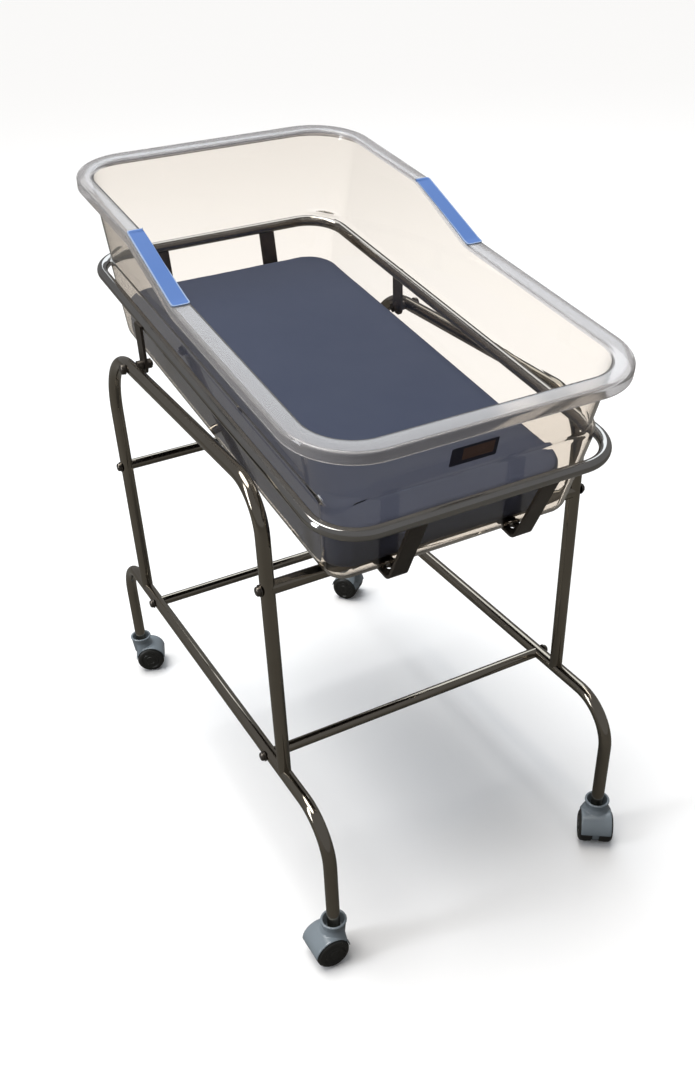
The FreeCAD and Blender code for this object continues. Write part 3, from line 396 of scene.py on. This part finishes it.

# %% [markdown]
# ## Metal
# The tubes are bright-plated, slightly hazy where hands have been. Their colour is darker and
# warmer than bare plating: a painted reflection of dark brown surroundings. The ring has a
# lighter, greyer copy of it, a painted brighter reflection. The flat straps and lugs are the
# same steel with a brushed, duller face, and their still darker colour is the same painted reflection.

# %% Metal finishes
def metal(name, colour, shade, low, high, scratch):
    """A plated metal with a cloudy colour, a varied gloss and rubbed scratches."""
    material, tree, shader = new_material(name, Metallic=1.0)
    cloud = use(tree, haze, Scale=14.0, Low=low, High=high)
    tree.links.new(cloud["Value"], shader.inputs["Roughness"])
    colours = blend_colours(tree, cloud["Mask"], (*colour, 1), (*shade, 1))
    tree.links.new(colours, shader.inputs["Base Color"])
    rubbed = use(tree, scratches, Scale=90.0, Stretch=0.12)
    relief(tree, shader, rubbed["Height"], scratch, 0.2 * MM)
    return material


# the plating colours below are painted reflection: darker and warmer than bare plating, lighter on the
# ring
bright_tube = metal("bright_tube", (0.33, 0.3, 0.25), (0.25, 0.22, 0.18), 0.05, 0.13, 0.04)
ring_tube = metal("ring_tube", (0.42, 0.41, 0.395), (0.33, 0.315, 0.295), 0.05, 0.12, 0.04)
flat_steel = metal("flat_steel", (0.14, 0.122, 0.105), (0.09, 0.078, 0.066), 0.3, 0.5, 0.15)
dark_bolt = metal("dark_bolt", (0.16, 0.142, 0.122), (0.1, 0.09, 0.08), 0.2, 0.4, 0.1)
zinc = metal("zinc", (0.4, 0.4, 0.39), (0.3, 0.29, 0.275), 0.25, 0.45, 0.12)

# the first row that fits a node's name gives its finish
FINISHES = (
    (("crossbar_bolts", "crossbar_washers"), dark_bolt),
    (("side_frame", "base_rail", "crossbar_lower", "crossbar_upper"), bright_tube),
    (("cradle_ring",), ring_tube),
    (("cradle_strap", "pivot_lug"), flat_steel),
    (("pivot_",), dark_bolt),
    (("caster_stem", "caster_axle"), zinc),
)
for name, item in nodes.items():
    finish = next((metal_kind for starts, metal_kind in FINISHES if name.startswith(starts)), None)
    if finish:
        for holder in item.material_slots:
            holder.material = finish
print("metal is on the frame and the cradle")

# %% [markdown]
# ## Plastics, rubber and cloth
# Hard plastics differ in gloss and in how fine their moulded grain is. The mattress cover
# is a coated cloth: a fine grain, a soft sheen and slow changes of tone.

# %% Plastic, rubber and cloth finishes
def moulded(name, colour, shade, low, high, grain_scale, strength, **values):
    """A moulded or coated surface with slow colour changes and a fine grain."""
    material, tree, shader = new_material(name, **values)
    cloud = use(tree, haze, Scale=11.0, Low=low, High=high)
    tree.links.new(cloud["Value"], shader.inputs["Roughness"])
    colours = blend_colours(tree, cloud["Mask"], (*colour, 1), (*shade, 1))
    tree.links.new(colours, shader.inputs["Base Color"])
    texture = use(tree, grain, **{"Scale": grain_scale, "Wide Scale": 40.0, "Wide Share": 0.4})
    relief(tree, shader, texture["Height"], strength, 0.15 * MM)
    return material


black_plastic = moulded("black_plastic", (0.018, 0.018, 0.017), (0.03, 0.03, 0.028), 0.3, 0.5, 1500, 0.1)
black_rubber = moulded("black_rubber", (0.016, 0.016, 0.016), (0.03, 0.028, 0.026), 0.6, 0.8, 1200, 0.3)
tyre = moulded("tyre", (0.014, 0.014, 0.012), (0.026, 0.025, 0.022), 0.35, 0.55, 1200, 0.25)
wheel_disc = moulded("wheel_disc", (0.014, 0.014, 0.012), (0.024, 0.023, 0.02), 0.2, 0.36, 1800, 0.06)
hood_plastic = moulded("hood_plastic", (0.24, 0.28, 0.31), (0.17, 0.195, 0.215), 0.1, 0.22, 1500, 0.06)
grip_blue = moulded(
    "grip_blue", (0.07, 0.165, 0.45), (0.085, 0.19, 0.49), 0.5, 0.65, 1400, 0.08,
    Specular_IOR_Level=0.3,
)
grip_edge = moulded("grip_edge", (0.3, 0.4, 0.6), (0.24, 0.34, 0.54), 0.25, 0.4, 1400, 0.05)
label_navy = moulded(
    "label_navy", (0.012, 0.013, 0.03), (0.02, 0.02, 0.036), 0.4, 0.5, 2000, 0.04,
    Specular_IOR_Level=0.25,
)
label_rust = moulded("label_rust", (0.07, 0.028, 0.018), (0.095, 0.042, 0.026), 0.3, 0.4, 2000, 0.04)
cover = moulded(
    "mattress_cover", (0.035, 0.044, 0.077), (0.044, 0.053, 0.086), 0.6, 0.75, 1600, 0.22,
    Specular_IOR_Level=0.16,
)

nodes["front_rest_pads"].material_slots[0].material = black_rubber
nodes["crossbar_plugs"].material_slots[0].material = black_plastic
print("plastics, rubber and cloth are ready")

# %% [markdown]
# ## Clear acrylic
# Light passes the acrylic and bends a little. The Principled shader's transmission does
# that. Lamps would cast a dark shadow through it, because bent light seldom finds them, so
# shadow rays see a Transparent shader instead. The rim is drawn thicker in the mould and
# looks greyer than the walls, so it has a tint of its own.

# %% Acrylic
def acrylic(name, tint, shadow_tint, low, high, clear_share, waviness):
    """Moulded acrylic that lets shadow rays through; what isn't clear in it is milky."""
    material, tree, shader = new_material(
        name, Base_Color=(*tint, 1), IOR=1.49, Transmission_Weight=clear_share,
    )
    cloud = use(tree, haze, Scale=7.0, Low=low, High=high)
    tree.links.new(cloud["Value"], shader.inputs["Roughness"])
    waves = use(tree, grain, **{"Scale": 24.0, "Wide Scale": 8.0, "Wide Share": 0.75})
    relief(tree, shader, waves["Height"], waviness, 1.2 * MM)
    clear = node(tree, "BsdfTransparent", {"Color": (*shadow_tint, 1)})
    path = node(tree, "LightPath")
    mix = node(tree, "MixShader", {"Fac": path.outputs["Is Shadow Ray"]})
    tree.links.new(shader.outputs["BSDF"], mix.inputs[1])
    tree.links.new(clear.outputs["BSDF"], mix.inputs[2])
    tree.links.new(mix.outputs["Shader"], tree.nodes["Material Output"].inputs["Surface"])
    return material


acrylic_wall = acrylic("acrylic_wall", (0.89, 0.835, 0.77), (0.94, 0.91, 0.87), 0.0, 0.012, 1.0, 0.2)
acrylic_rim = acrylic("acrylic_rim", (0.62, 0.605, 0.605), (0.8, 0.79, 0.78), 0.1, 0.17, 0.78, 0.05)
print("acrylic with a clear wall and a milky rim")

# %% [markdown]
# ## The tub
# The tub is one sheet of acrylic, drawn over a mould. Seen level by level it is a rounded
# rectangle that shrinks on its way down: the lip, the rim, the shoulder, a ledge that rests
# over the ring, and the floor. Below the ledge its corners are much tighter than above, so
# the ledge stands out there. Each pair of levels is bridged into a band, the bands are
# merged, the bends are rounded, the rear of the rim is raised along a slope, and one
# modifier gives the sheet its thickness.

# %% The slope of the rim
RIM_SIDE, RIM_FRONT, RIM_REAR, RIM_CORNER = 229.5 * MM, 410 * MM, 389 * MM, 88 * MM
RIM_WIDTH = 27.5 * MM
LIP_LOW, RIM_TOP = 96.5 * MM, 112.5 * MM
SHOULDER_LEVEL, LEDGE_LEVEL, FLOOR_LEVEL = 28 * MM, 20 * MM, -106 * MM
RIM_RISE = 36.5 * MM
SLOPE_FRONT, SLOPE_REAR = -20 * MM, 122 * MM
SLOPE_BLEND = 60 * MM
slope_angle = math.atan2(RIM_RISE, SLOPE_REAR - SLOPE_FRONT)
blend_reach = SLOPE_BLEND * math.tan(slope_angle / 2)
blend_length = SLOPE_BLEND * math.sin(slope_angle)


def rise_at(y):
    """Height of the rim at a place along it, above its front part."""
    into, left = y - (SLOPE_FRONT - blend_reach), SLOPE_REAR + blend_reach - y
    if into <= 0:
        return 0.0
    if left <= 0:
        return RIM_RISE
    if into < blend_length:
        return SLOPE_BLEND - math.sqrt(SLOPE_BLEND**2 - into**2)
    if left < blend_length:
        return RIM_RISE - (SLOPE_BLEND - math.sqrt(SLOPE_BLEND**2 - left**2))
    return (y - SLOPE_FRONT) * math.tan(slope_angle)


BLEND_STEPS, SLOPE_STEPS = 6, 6
first, last = SLOPE_FRONT - blend_reach, SLOPE_REAR + blend_reach
stations = [first + blend_length * i / BLEND_STEPS for i in range(BLEND_STEPS + 1)]
stations += [
    first + blend_length + (last - first - 2 * blend_length) * i / SLOPE_STEPS
    for i in range(1, SLOPE_STEPS)
]
stations += [last - blend_length + blend_length * i / BLEND_STEPS for i in range(BLEND_STEPS + 1)]
print(len(stations), "stations on a slope of", round(math.degrees(slope_angle), 1), "degrees")


def raise_along(piece, lowest, widen=None):
    """Cut a piece at every station and raise what lies behind each, so that it follows the slope."""
    for y in stations:
        pick_faces(piece, lambda centre, normal: centre.z > lowest)
        bpy.ops.mesh.bisect(plane_co=(0, y, 0), plane_no=(0, 1, 0))
    pick(piece, lambda co: co.z > lowest)
    bpy.ops.mesh.remove_doubles(threshold=0.2 * MM)
    before = 0.0
    for i, y in enumerate(stations):
        step = rise_at(y) - before
        before += step
        # the first station is where the slope starts, so nothing rises there
        if step <= 0:
            continue
        pick(piece, lambda co: co.z > lowest and co.y > y - TINY)
        bpy.ops.transform.translate(value=(0, 0, step))
        if widen:
            pick(piece, lambda co: widen(co) and co.z > lowest and co.y > y - TINY)
            factor = 1 + WIDER * step / RIM_RISE
            bpy.ops.transform.resize(value=(factor, 1, 1), center_override=(0, 0, 0))
    only(piece)


# %% Levels and bands
CORNER_STEPS = 14


def level(name, side, front, rear, height, corner, filled=False):
    """A rounded rectangle at a height, as an edge or as a face."""
    piece = start(name, bpy.ops.mesh.primitive_plane_add, size=2, location=(0, 0, 0))
    pick(piece, lambda co: True)
    half = (side, (front + rear) / 2, 1)
    bpy.ops.transform.resize(value=half, center_override=(0, 0, 0))
    bpy.ops.transform.translate(value=(0, (rear - front) / 2, height))
    bpy.ops.mesh.bevel(offset=corner, segments=CORNER_STEPS, affect="VERTICES")
    if not filled:
        bpy.ops.mesh.select_mode(type="FACE")
        bpy.ops.mesh.select_all(action="SELECT")
        bpy.ops.mesh.delete(type="ONLY_FACE")
    only(piece)
    return piece


def band(name, high, low):
    """Bridge two levels."""
    piece = join(name, [level(f"{name}_{i}", *size) for i, size in enumerate((high, low))])
    pick(piece, lambda co: True)
    bpy.ops.mesh.bridge_edge_loops()
    only(piece)
    return piece


# half width, front reach, rear reach, height and corner radius of the upper and inner face
RIM_OUTSIDE = (RIM_SIDE, RIM_FRONT, RIM_REAR)
RIM_INSIDE = tuple(reach - RIM_WIDTH for reach in RIM_OUTSIDE)
LOW_CORNER = 24 * MM
LEVELS = (
    (*RIM_OUTSIDE, LIP_LOW, RIM_CORNER),
    (*RIM_OUTSIDE, RIM_TOP, RIM_CORNER),
    (*RIM_INSIDE, RIM_TOP, RIM_CORNER - RIM_WIDTH),
    (191.4 * MM, 371.9 * MM, 352.45 * MM, SHOULDER_LEVEL, 54.5 * MM),
    (187.5 * MM, 368.0 * MM, 348.8 * MM, LEDGE_LEVEL, LOW_CORNER),
    (171.7 * MM, 352.2 * MM, 339.4 * MM, FLOOR_LEVEL, LOW_CORNER),
)
bands = [band(f"band_{i}", *pair) for i, pair in enumerate(zip(LEVELS, LEVELS[1:]))]
tub = join("tub_shell", bands + [level("tub_floor", *LEVELS[-1], filled=True)])
outward(tub)
print("tub of", len(bands), "bands and a floor,", len(tub.data.vertices), "points")

# %% Rounded bends
# the inner edge of the rim moves out a little where the rim is raised, by this share of its place
WIDER = 0.0226


def in_rim(co):
    """True on the inner edge of the rim, and not on its outer edge."""
    side, front, rear = (reach - RIM_WIDTH / 2 for reach in RIM_OUTSIDE)
    corner = RIM_CORNER - RIM_WIDTH / 2
    over_x = max(abs(co.x) - (side - corner), 0)
    over_y = max(co.y - (rear - corner), -co.y - (front - corner), 0)
    return math.hypot(over_x, over_y) < corner


def pick_level(piece, height, test):
    """Select the edges that lie level at a height and whose ends pass a test."""
    only(piece)
    mesh = piece.data
    points = {v.index for v in mesh.vertices if abs(v.co.z - height) < 0.2 * MM and test(v.co)}
    edges = {e.index for e in mesh.edges if points.issuperset(e.vertices)}
    select_in(piece, "EDGE", points, edges, set())
    return len(edges)


# each bend: its level, how far it reaches from the edge, its segments and which edges it takes
BENDS = (
    ("floor", FLOOR_LEVEL, 18 * MM, 7, lambda co: True),
    ("ledge", LEDGE_LEVEL, 3.6 * MM, 5, lambda co: True),
    ("shoulder", SHOULDER_LEVEL, 3.6 * MM, 5, lambda co: True),
    ("inner edge of the rim", RIM_TOP, 4.8 * MM, 5, in_rim),
    ("outer edge of the rim", RIM_TOP, 4.8 * MM, 5, lambda co: not in_rim(co)),
)
for name, height, reach, segments, test in BENDS:
    count = pick_level(tub, height, test)
    bpy.ops.mesh.bevel(offset=reach, segments=segments, affect="EDGES")
    print(name, "rounded over", count, "edges")

# %% Slope and thickness
WALL, WALL_EDGE = 4 * MM, 0.9 * MM
BELOW_LIP = 90 * MM
MILKY_FROM = 95 * MM
raise_along(tub, BELOW_LIP, widen=in_rim)
# the sheet is open, so its outside is the side that looks up on top of the rim
up_facing = [f for f in tub.data.polygons if f.center.z > 105 * MM and abs(f.normal.z) > 0.9]
if up_facing[0].normal.z < 0:
    pick(tub, lambda co: True)
    bpy.ops.mesh.flip_normals()
modify(tub, "SOLIDIFY", thickness=WALL, offset=-1, use_even_offset=True, use_quality_normals=True)
CREASE = math.radians(50)
modify(tub, "BEVEL", width=WALL_EDGE, segments=3, limit_method="ANGLE", angle_limit=CREASE)
for material in (acrylic_wall, acrylic_rim):
    tub.data.materials.append(material)
for face in tub.data.polygons:
    over = face.center.z - rise_at(face.center.y)
    face.material_index = int(over > MILKY_FROM)
dress(seat_in_cradle(tub), "tub", (), ["tub"])

# %% [markdown]
# ## Grips
# A soft strip lies on the slope of the rim on each side. It is cut from a flat sheet, with
# rounded corners and a pale edge, and follows the slope by the same helper as the rim.

# %% Grips
GRIP_IN, GRIP_OUT = 203.2 * MM, 228 * MM
GRIP_FRONT, GRIP_REAR = -28 * MM, 122 * MM
GRIP_CORNER = 5 * MM
GRIP_EDGE = 1.7 * MM
GRIP_THICK, GRIP_ROUND = 1.5 * MM, 0.4 * MM
GRIP_GAP = 0.1 * MM
for name, side in (("left", -1), ("right", 1)):
    grip = start(f"grip_strip_{name}", bpy.ops.mesh.primitive_plane_add, size=2, location=(0, 0, 0))
    pick(grip, lambda co: True)
    half = ((GRIP_OUT - GRIP_IN) / 2, (GRIP_REAR - GRIP_FRONT) / 2, 1)
    bpy.ops.transform.resize(value=half, center_override=(0, 0, 0))
    middle = (side * (GRIP_OUT + GRIP_IN) / 2, (GRIP_REAR + GRIP_FRONT) / 2, RIM_TOP + GRIP_GAP)
    bpy.ops.transform.translate(value=middle)
    bpy.ops.mesh.bevel(offset=GRIP_CORNER, segments=5, affect="VERTICES")
    only(grip)
    for material in (grip_blue, grip_edge):
        grip.data.materials.append(material)
    pick_faces(grip, lambda centre, normal: True)
    bpy.ops.mesh.inset(thickness=GRIP_EDGE, use_even_offset=True)
    only(grip)
    largest = max(grip.data.polygons, key=lambda face: face.area)
    for face in grip.data.polygons:
        face.material_index = int(face.index != largest.index)
    raise_along(grip, BELOW_LIP, widen=lambda co: abs(co.x) < GRIP_IN + 2 * MM)
    if max(grip.data.polygons, key=lambda face: face.area).normal.z < 0:
        pick(grip, lambda co: True)
        bpy.ops.mesh.flip_normals()
    modify(grip, "SOLIDIFY", thickness=GRIP_THICK, offset=1)
    modify(grip, "BEVEL", width=GRIP_ROUND, segments=2, limit_method="ANGLE", angle_limit=CREASE)
    dress(seat_in_cradle(grip), "tub", (), [f"grip_pad_{name}"])

# %% [markdown]
# ## Label
# A small plate on the front wall, left generic: a navy plate with a rust-coloured field.

# %% Label
# the front wall moves in by this share of the height on its way down
WALL_LEAN = 0.125
WALL_AT_RIM = 386.5 * MM
LABEL_SIZE = (64 * MM, 26 * MM)
LABEL_X, LABEL_Z = -10 * MM, 52 * MM
# the height at which the place of the wall is taken, near the middle of the label
WALL_Z = 50 * MM
LABEL_THICK, LABEL_CORNER, FIELD_STEP = 0.5 * MM, 2 * MM, 0.15 * MM
LABEL_FIELD = ((-16 * MM, 27 * MM), (-7.5 * MM, 9.5 * MM))


def in_field(place):
    """True inside the coloured field of the label."""
    return all(low < c < high for c, (low, high) in zip(place, LABEL_FIELD))


label = start("label_plate", bpy.ops.mesh.primitive_plane_add, size=2, location=(0, 0, 0))
pick(label, lambda co: True)
half = (LABEL_SIZE[0] / 2, LABEL_SIZE[1] / 2, 1)
bpy.ops.transform.resize(value=half, center_override=(0, 0, 0))
bpy.ops.mesh.bevel(offset=LABEL_CORNER, segments=4, affect="VERTICES")
for axis, (low, high) in zip(((1, 0, 0), (0, 1, 0)), LABEL_FIELD):
    for cut in (low, high):
        bpy.ops.mesh.select_all(action="SELECT")
        bpy.ops.mesh.bisect(plane_co=Vector(axis) * cut, plane_no=axis)
only(label)
for material in (label_navy, label_rust):
    label.data.materials.append(material)
for face in label.data.polygons:
    face.material_index = int(in_field(face.center))
pick_faces(label, lambda centre, normal: in_field(centre))
bpy.ops.mesh.inset(thickness=0.5 * MM, depth=FIELD_STEP)
modify(label, "SOLIDIFY", thickness=LABEL_THICK, offset=-1)
upright = Matrix.Rotation(math.radians(90), 4, "X")
lean = Matrix.Rotation(math.atan(WALL_LEAN), 4, "X")
wall_at_label = -(WALL_AT_RIM - WALL_LEAN * (RIM_TOP - WALL_Z))
# half a plate and a small gap in front of the wall
label_y = wall_at_label - LABEL_THICK / 2 - 0.4 * MM
label.matrix_world = Matrix.Translation((LABEL_X, label_y, LABEL_Z)) @ lean @ upright
bpy.ops.object.transform_apply(location=True, rotation=True, scale=True)
dress(seat_in_cradle(label), "tub", (), ["label_patch"])
print("label stands at", [round(c, 3) for c in label.data.vertices[0].co])

# %% [markdown]
# ## Mattress
# A foam pad in a coated cover: nearly flat on top, rounded at the edges and flat where it
# lies on the floor of the tub. It starts a little small, is remeshed into even cells and
# swelled by a short cloth simulation. No point may move further than a cap.

# %% Mattress
PAD_SIDE, PAD_FRONT, PAD_REAR = 173.9 * MM, 344.5 * MM, 340.4 * MM
PAD_FLOOR, PAD_TOP = -105.7 * MM, -36.2 * MM
PAD_CORNER, PAD_UNDER, PAD_OVER = 46 * MM, 22 * MM, 7 * MM
PAD_SHRINK, PAD_CELL = 1.5 * MM, 5 * MM
mattress = start("mattress_pad", bpy.ops.mesh.primitive_cube_add, size=2, location=(0, 0, 0))
pick(mattress, lambda co: True)
half = [reach / 2 - PAD_SHRINK for reach in (2 * PAD_SIDE, PAD_FRONT + PAD_REAR, PAD_TOP - PAD_FLOOR)]
bpy.ops.transform.resize(value=half, center_override=(0, 0, 0))
middle_z = (PAD_TOP + PAD_FLOOR) / 2
bpy.ops.transform.translate(value=(0, (PAD_REAR - PAD_FRONT) / 2, middle_z))
only(mattress)
heights = [v.co.z for v in mattress.data.vertices]
upright_edges = {
    e.index for e in mattress.data.edges
    if abs(heights[e.vertices[0]] - heights[e.vertices[1]]) > TINY
}
ends = {v for i in upright_edges for v in mattress.data.edges[i].vertices}
select_in(mattress, "EDGE", ends, upright_edges, set())
bpy.ops.mesh.bevel(offset=PAD_CORNER, segments=10, affect="EDGES")
for low_edge, reach in ((True, PAD_UNDER), (False, PAD_OVER)):
    pick_sharp(mattress, lambda co: (co.z < middle_z) == low_edge)
    bpy.ops.mesh.bevel(offset=reach, segments=6, affect="EDGES")
modify(mattress, "REMESH", mode="VOXEL", voxel_size=PAD_CELL, use_smooth_shade=True)
print("mattress cells:", len(mattress.data.polygons))

# %% Swelling the mattress
PRESSURE, FRAMES, CAP = 4.0, 20, 3 * MM


def swell(piece, pressure, frames, cap):
    """Blow a closed mesh up a little by a cloth simulation, with no point past a cap."""
    only(piece)
    rest = [v.co.copy() for v in piece.data.vertices]
    cloth = piece.modifiers.new("cloth", "CLOTH")
    cloth.settings.use_pressure = True
    cloth.settings.uniform_pressure_force = pressure
    cloth.settings.effector_weights.gravity = 0
    cloth.settings.tension_stiffness = 15
    cloth.settings.bending_stiffness = 2.0
    scene = bpy.context.scene
    for number in range(1, frames + 1):
        scene.frame_set(number)
    bpy.ops.object.modifier_apply(modifier=cloth.name)
    scene.frame_set(1)
    for vertex, place in zip(piece.data.vertices, rest):
        move = vertex.co - place
        if move.length > cap:
            vertex.co = place + move * (cap / move.length)


swell(mattress, PRESSURE, FRAMES, CAP)
modify(mattress, "SUBSURF", levels=1, render_levels=1)
points = [v.co for v in mattress.data.vertices]
half_x = max(abs(c.x) for c in points)
front_y, rear_y = -min(c.y for c in points), max(c.y for c in points)
low_z, high_z = min(c.z for c in points), max(c.z for c in points)
print("swollen to", [round(reach / MM, 1) for reach in (half_x, front_y, rear_y, low_z, high_z)])
# the pad fills the tub: it is pressed to its own size, and its faces lie nearly flat
PRESSED, SOFT = 1.2 * MM, 2.5 * MM


def pressed(value, limit):
    """Let a value come near a limit more and more slowly."""
    over = value - (limit - SOFT)
    return value if over <= 0 else limit - SOFT * math.exp(-over / SOFT)


to_rear, to_front = (PAD_REAR + PRESSED) / rear_y, (PAD_FRONT + PRESSED) / front_y
# the floor and the top are pressed harder than the sides
to_height = (PAD_TOP - PAD_FLOOR + 3 * PRESSED) / (high_z - low_z)
for vertex in mattress.data.vertices:
    x = vertex.co.x * (PAD_SIDE + PRESSED) / half_x
    y = vertex.co.y * (to_rear if vertex.co.y > 0 else to_front)
    z = PAD_FLOOR - PRESSED + (vertex.co.z - low_z) * to_height
    x = math.copysign(pressed(abs(x), PAD_SIDE), x)
    y = pressed(y, PAD_REAR) if y > 0 else -pressed(-y, PAD_FRONT)
    vertex.co = (x, y, max(PAD_FLOOR, pressed(z, PAD_TOP)))
dress(seat_in_cradle(mattress), "mattress", [cover], ["mattress"], smooth=60)

# %% [markdown]
# ## Casters
# Each caster is a swivelling hood with a cup round the foot of the tube and two wheels.
# The hood is built from plain bodies that are joined, cut and then melted together by a
# fine remesh, which gives the soft corners of a moulding. One is made and copied.

# %% One hood
TRAIL, WHEEL_R = 13.5 * MM, 25 * MM
HOOD_IN, HOOD_OUT, HOOD_WIDTH = 25.8 * MM, 27.3 * MM, 48 * MM
WEB = 11 * MM
HOOD_EDGE, WEB_EDGE = 28 * MM, 12 * MM
CUP_LOW, CUP_FLOOR, CUP_TOP = 38 * MM, 52 * MM, 70 * MM
CUP_R, CUP_LIP, CUP_LOW_R = 19 * MM, 2 * MM, 15 * MM
HOLLOW_LOW_R, HOLLOW_TOP_R = 12.3 * MM, 15.4 * MM
SHOULDER_LOW, SHOULDER_TOP, SHOULDER_END = 42 * MM, 58 * MM, -9 * MM
SHOULDER_LOW_R, SHOULDER_TOP_R = 25 * MM, 17.5 * MM
WEB_R = 24 * MM
ROOM_WIDTH = 30 * MM
MELT_CELL, FINE_CELL = 0.6 * MM, 0.5 * MM
ACROSS = (math.radians(90), 0, 0)
AXLE = (TRAIL, 0, WHEEL_R)


def drum(name, radius, width, middle=AXLE, vertices=72):
    """A cylinder across the caster."""
    return start(
        name, bpy.ops.mesh.primitive_cylinder_add, vertices=vertices, radius=radius, depth=width,
        location=middle, rotation=ACROSS,
    )


def keep_above(piece, height):
    """Cut a closed piece level and keep what is above."""
    pick(piece, lambda co: True)
    bpy.ops.mesh.bisect(plane_co=(0, 0, height), plane_no=(0, 0, 1), clear_inner=True, use_fill=True)
    only(piece)


def cup_form(name, low_r, high_r, low, high):
    """A cone frustum round the swivel axis."""
    return start(
        name, bpy.ops.mesh.primitive_cone_add, vertices=64, radius1=low_r, radius2=high_r,
        depth=high - low, location=(0, 0, (low + high) / 2),
    )


def combine(piece, kind, tool):
    """Boolean with a tool that is used up."""
    modify(piece, "BOOLEAN", operation=kind, object=tool, solver="EXACT")
    bpy.data.objects.remove(tool)


hood_arch = drum("hood_arch", HOOD_OUT, HOOD_WIDTH)
pick_sharp(hood_arch, lambda co: True)
bpy.ops.mesh.bevel(offset=3 * MM, segments=4, affect="EDGES")
keep_above(hood_arch, HOOD_EDGE)
web = drum("web", WEB_R, WEB)
keep_above(web, WEB_EDGE)
# the shoulders run out from under the cup to the full width of the hood
shoulders = cup_form("shoulders", SHOULDER_LOW_R, SHOULDER_TOP_R, SHOULDER_LOW, SHOULDER_TOP)
pick(shoulders, lambda co: True)
cut = (SHOULDER_END, 0, 0)
bpy.ops.mesh.bisect(plane_co=cut, plane_no=(1, 0, 0), clear_inner=True, use_fill=True)
only(shoulders)
cup = cup_form("cup", CUP_LOW_R, CUP_R - CUP_LIP / 2, CUP_LOW, CUP_TOP - CUP_LIP)
lip = start(
    "lip", bpy.ops.mesh.primitive_torus_add, major_radius=CUP_R - CUP_LIP, minor_radius=CUP_LIP,
    major_segments=64, minor_segments=16, location=(0, 0, CUP_TOP - CUP_LIP),
)
hood = join("hood", [hood_arch, web, shoulders, cup, lip])
modify(hood, "REMESH", mode="VOXEL", voxel_size=MELT_CELL)
print("the bodies of the hood melt into one of", len(hood.data.polygons), "faces")
for side in (-1, 1):
    room = drum("room", HOOD_IN, ROOM_WIDTH, (TRAIL, side * (WEB + ROOM_WIDTH) / 2, WHEEL_R))
    combine(hood, "DIFFERENCE", room)
hollow = cup_form("hollow", HOLLOW_LOW_R, HOLLOW_TOP_R, CUP_FLOOR, CUP_TOP + 0.3 * MM)
combine(hood, "DIFFERENCE", hollow)
modify(hood, "REMESH", mode="VOXEL", voxel_size=FINE_CELL, use_smooth_shade=True)
modify(hood, "SMOOTH", factor=0.5, iterations=4)
modify(hood, "DECIMATE", ratio=0.2)
print("hood has", len(hood.data.polygons), "faces")

# %% One wheel
WHEEL_IN, WHEEL_OUT = 5.9 * MM, 26 * MM
OUTER_ROUND, INNER_ROUND, TYRE = 6.5 * MM, 2.0 * MM, 2.5 * MM
wheel = drum("wheel", WHEEL_R, WHEEL_OUT - WHEEL_IN, (0, (WHEEL_IN + WHEEL_OUT) / 2, 0), 80)
pick_faces(wheel, lambda centre, normal: normal.y > 0.9)
# each step of the outer face: how far it goes in, and how far it rises or sinks
DISH = ((8.2, 0.0), (0.6, -0.9), (1.6, 0.0), (0.5, 0.5), (5.4, 0.0), (0.5, 0.8), (1.2, 0.0), (0.5, -0.5))
for inset, depth in DISH:
    bpy.ops.mesh.inset(thickness=inset * MM, depth=depth * MM)
only(wheel)
pick_sharp(wheel, lambda co: math.hypot(co.x, co.z) > WHEEL_R - TINY and co.y > WHEEL_OUT - MM)
bpy.ops.mesh.bevel(offset=OUTER_ROUND, segments=8, affect="EDGES")
pick_sharp(wheel, lambda co: math.hypot(co.x, co.z) > WHEEL_R - TINY and co.y < WHEEL_IN + MM)
bpy.ops.mesh.bevel(offset=INNER_ROUND, segments=4, affect="EDGES")
only(wheel)
for material in (wheel_disc, tyre):
    wheel.data.materials.append(material)
for face in wheel.data.polygons:
    face.material_index = int(math.hypot(face.center.x, face.center.z) > WHEEL_R - TYRE)
print("wheel has", len(wheel.data.polygons), "faces")

# %% Four casters
RAIL_X, FOOT_Y = 232.9 * MM, 394 * MM
# each caster: its side, its end and its heading in degrees
CORNERS = {
    "front_left": (-1, -1, 180), "front_right": (1, -1, -125),
    "rear_left": (-1, 1, -20), "rear_right": (1, 1, 130),
}
for corner, (x, y, heading) in CORNERS.items():
    turned = Matrix.Translation((x * RAIL_X, y * FOOT_Y, 0))
    turned @= Matrix.Rotation(math.radians(heading), 4, "Z")
    twin = copy_of(hood, f"hood_{corner}", turned)
    dress(twin, f"caster_{corner}", [hood_plastic], [f"caster_hood_{corner}"], smooth=50)
    for which, flip in (("inner", 0), ("outer", 180)):
        spun = turned @ Matrix.Translation(AXLE) @ Matrix.Rotation(math.radians(flip), 4, "Z")
        twin = copy_of(wheel, f"tread_{corner}_{which}", spun)
        name = f"wheel_{corner}_{which}"
        dress(twin, name, (), [name], smooth=40)
for master in (hood, wheel):
    bpy.data.objects.remove(master)
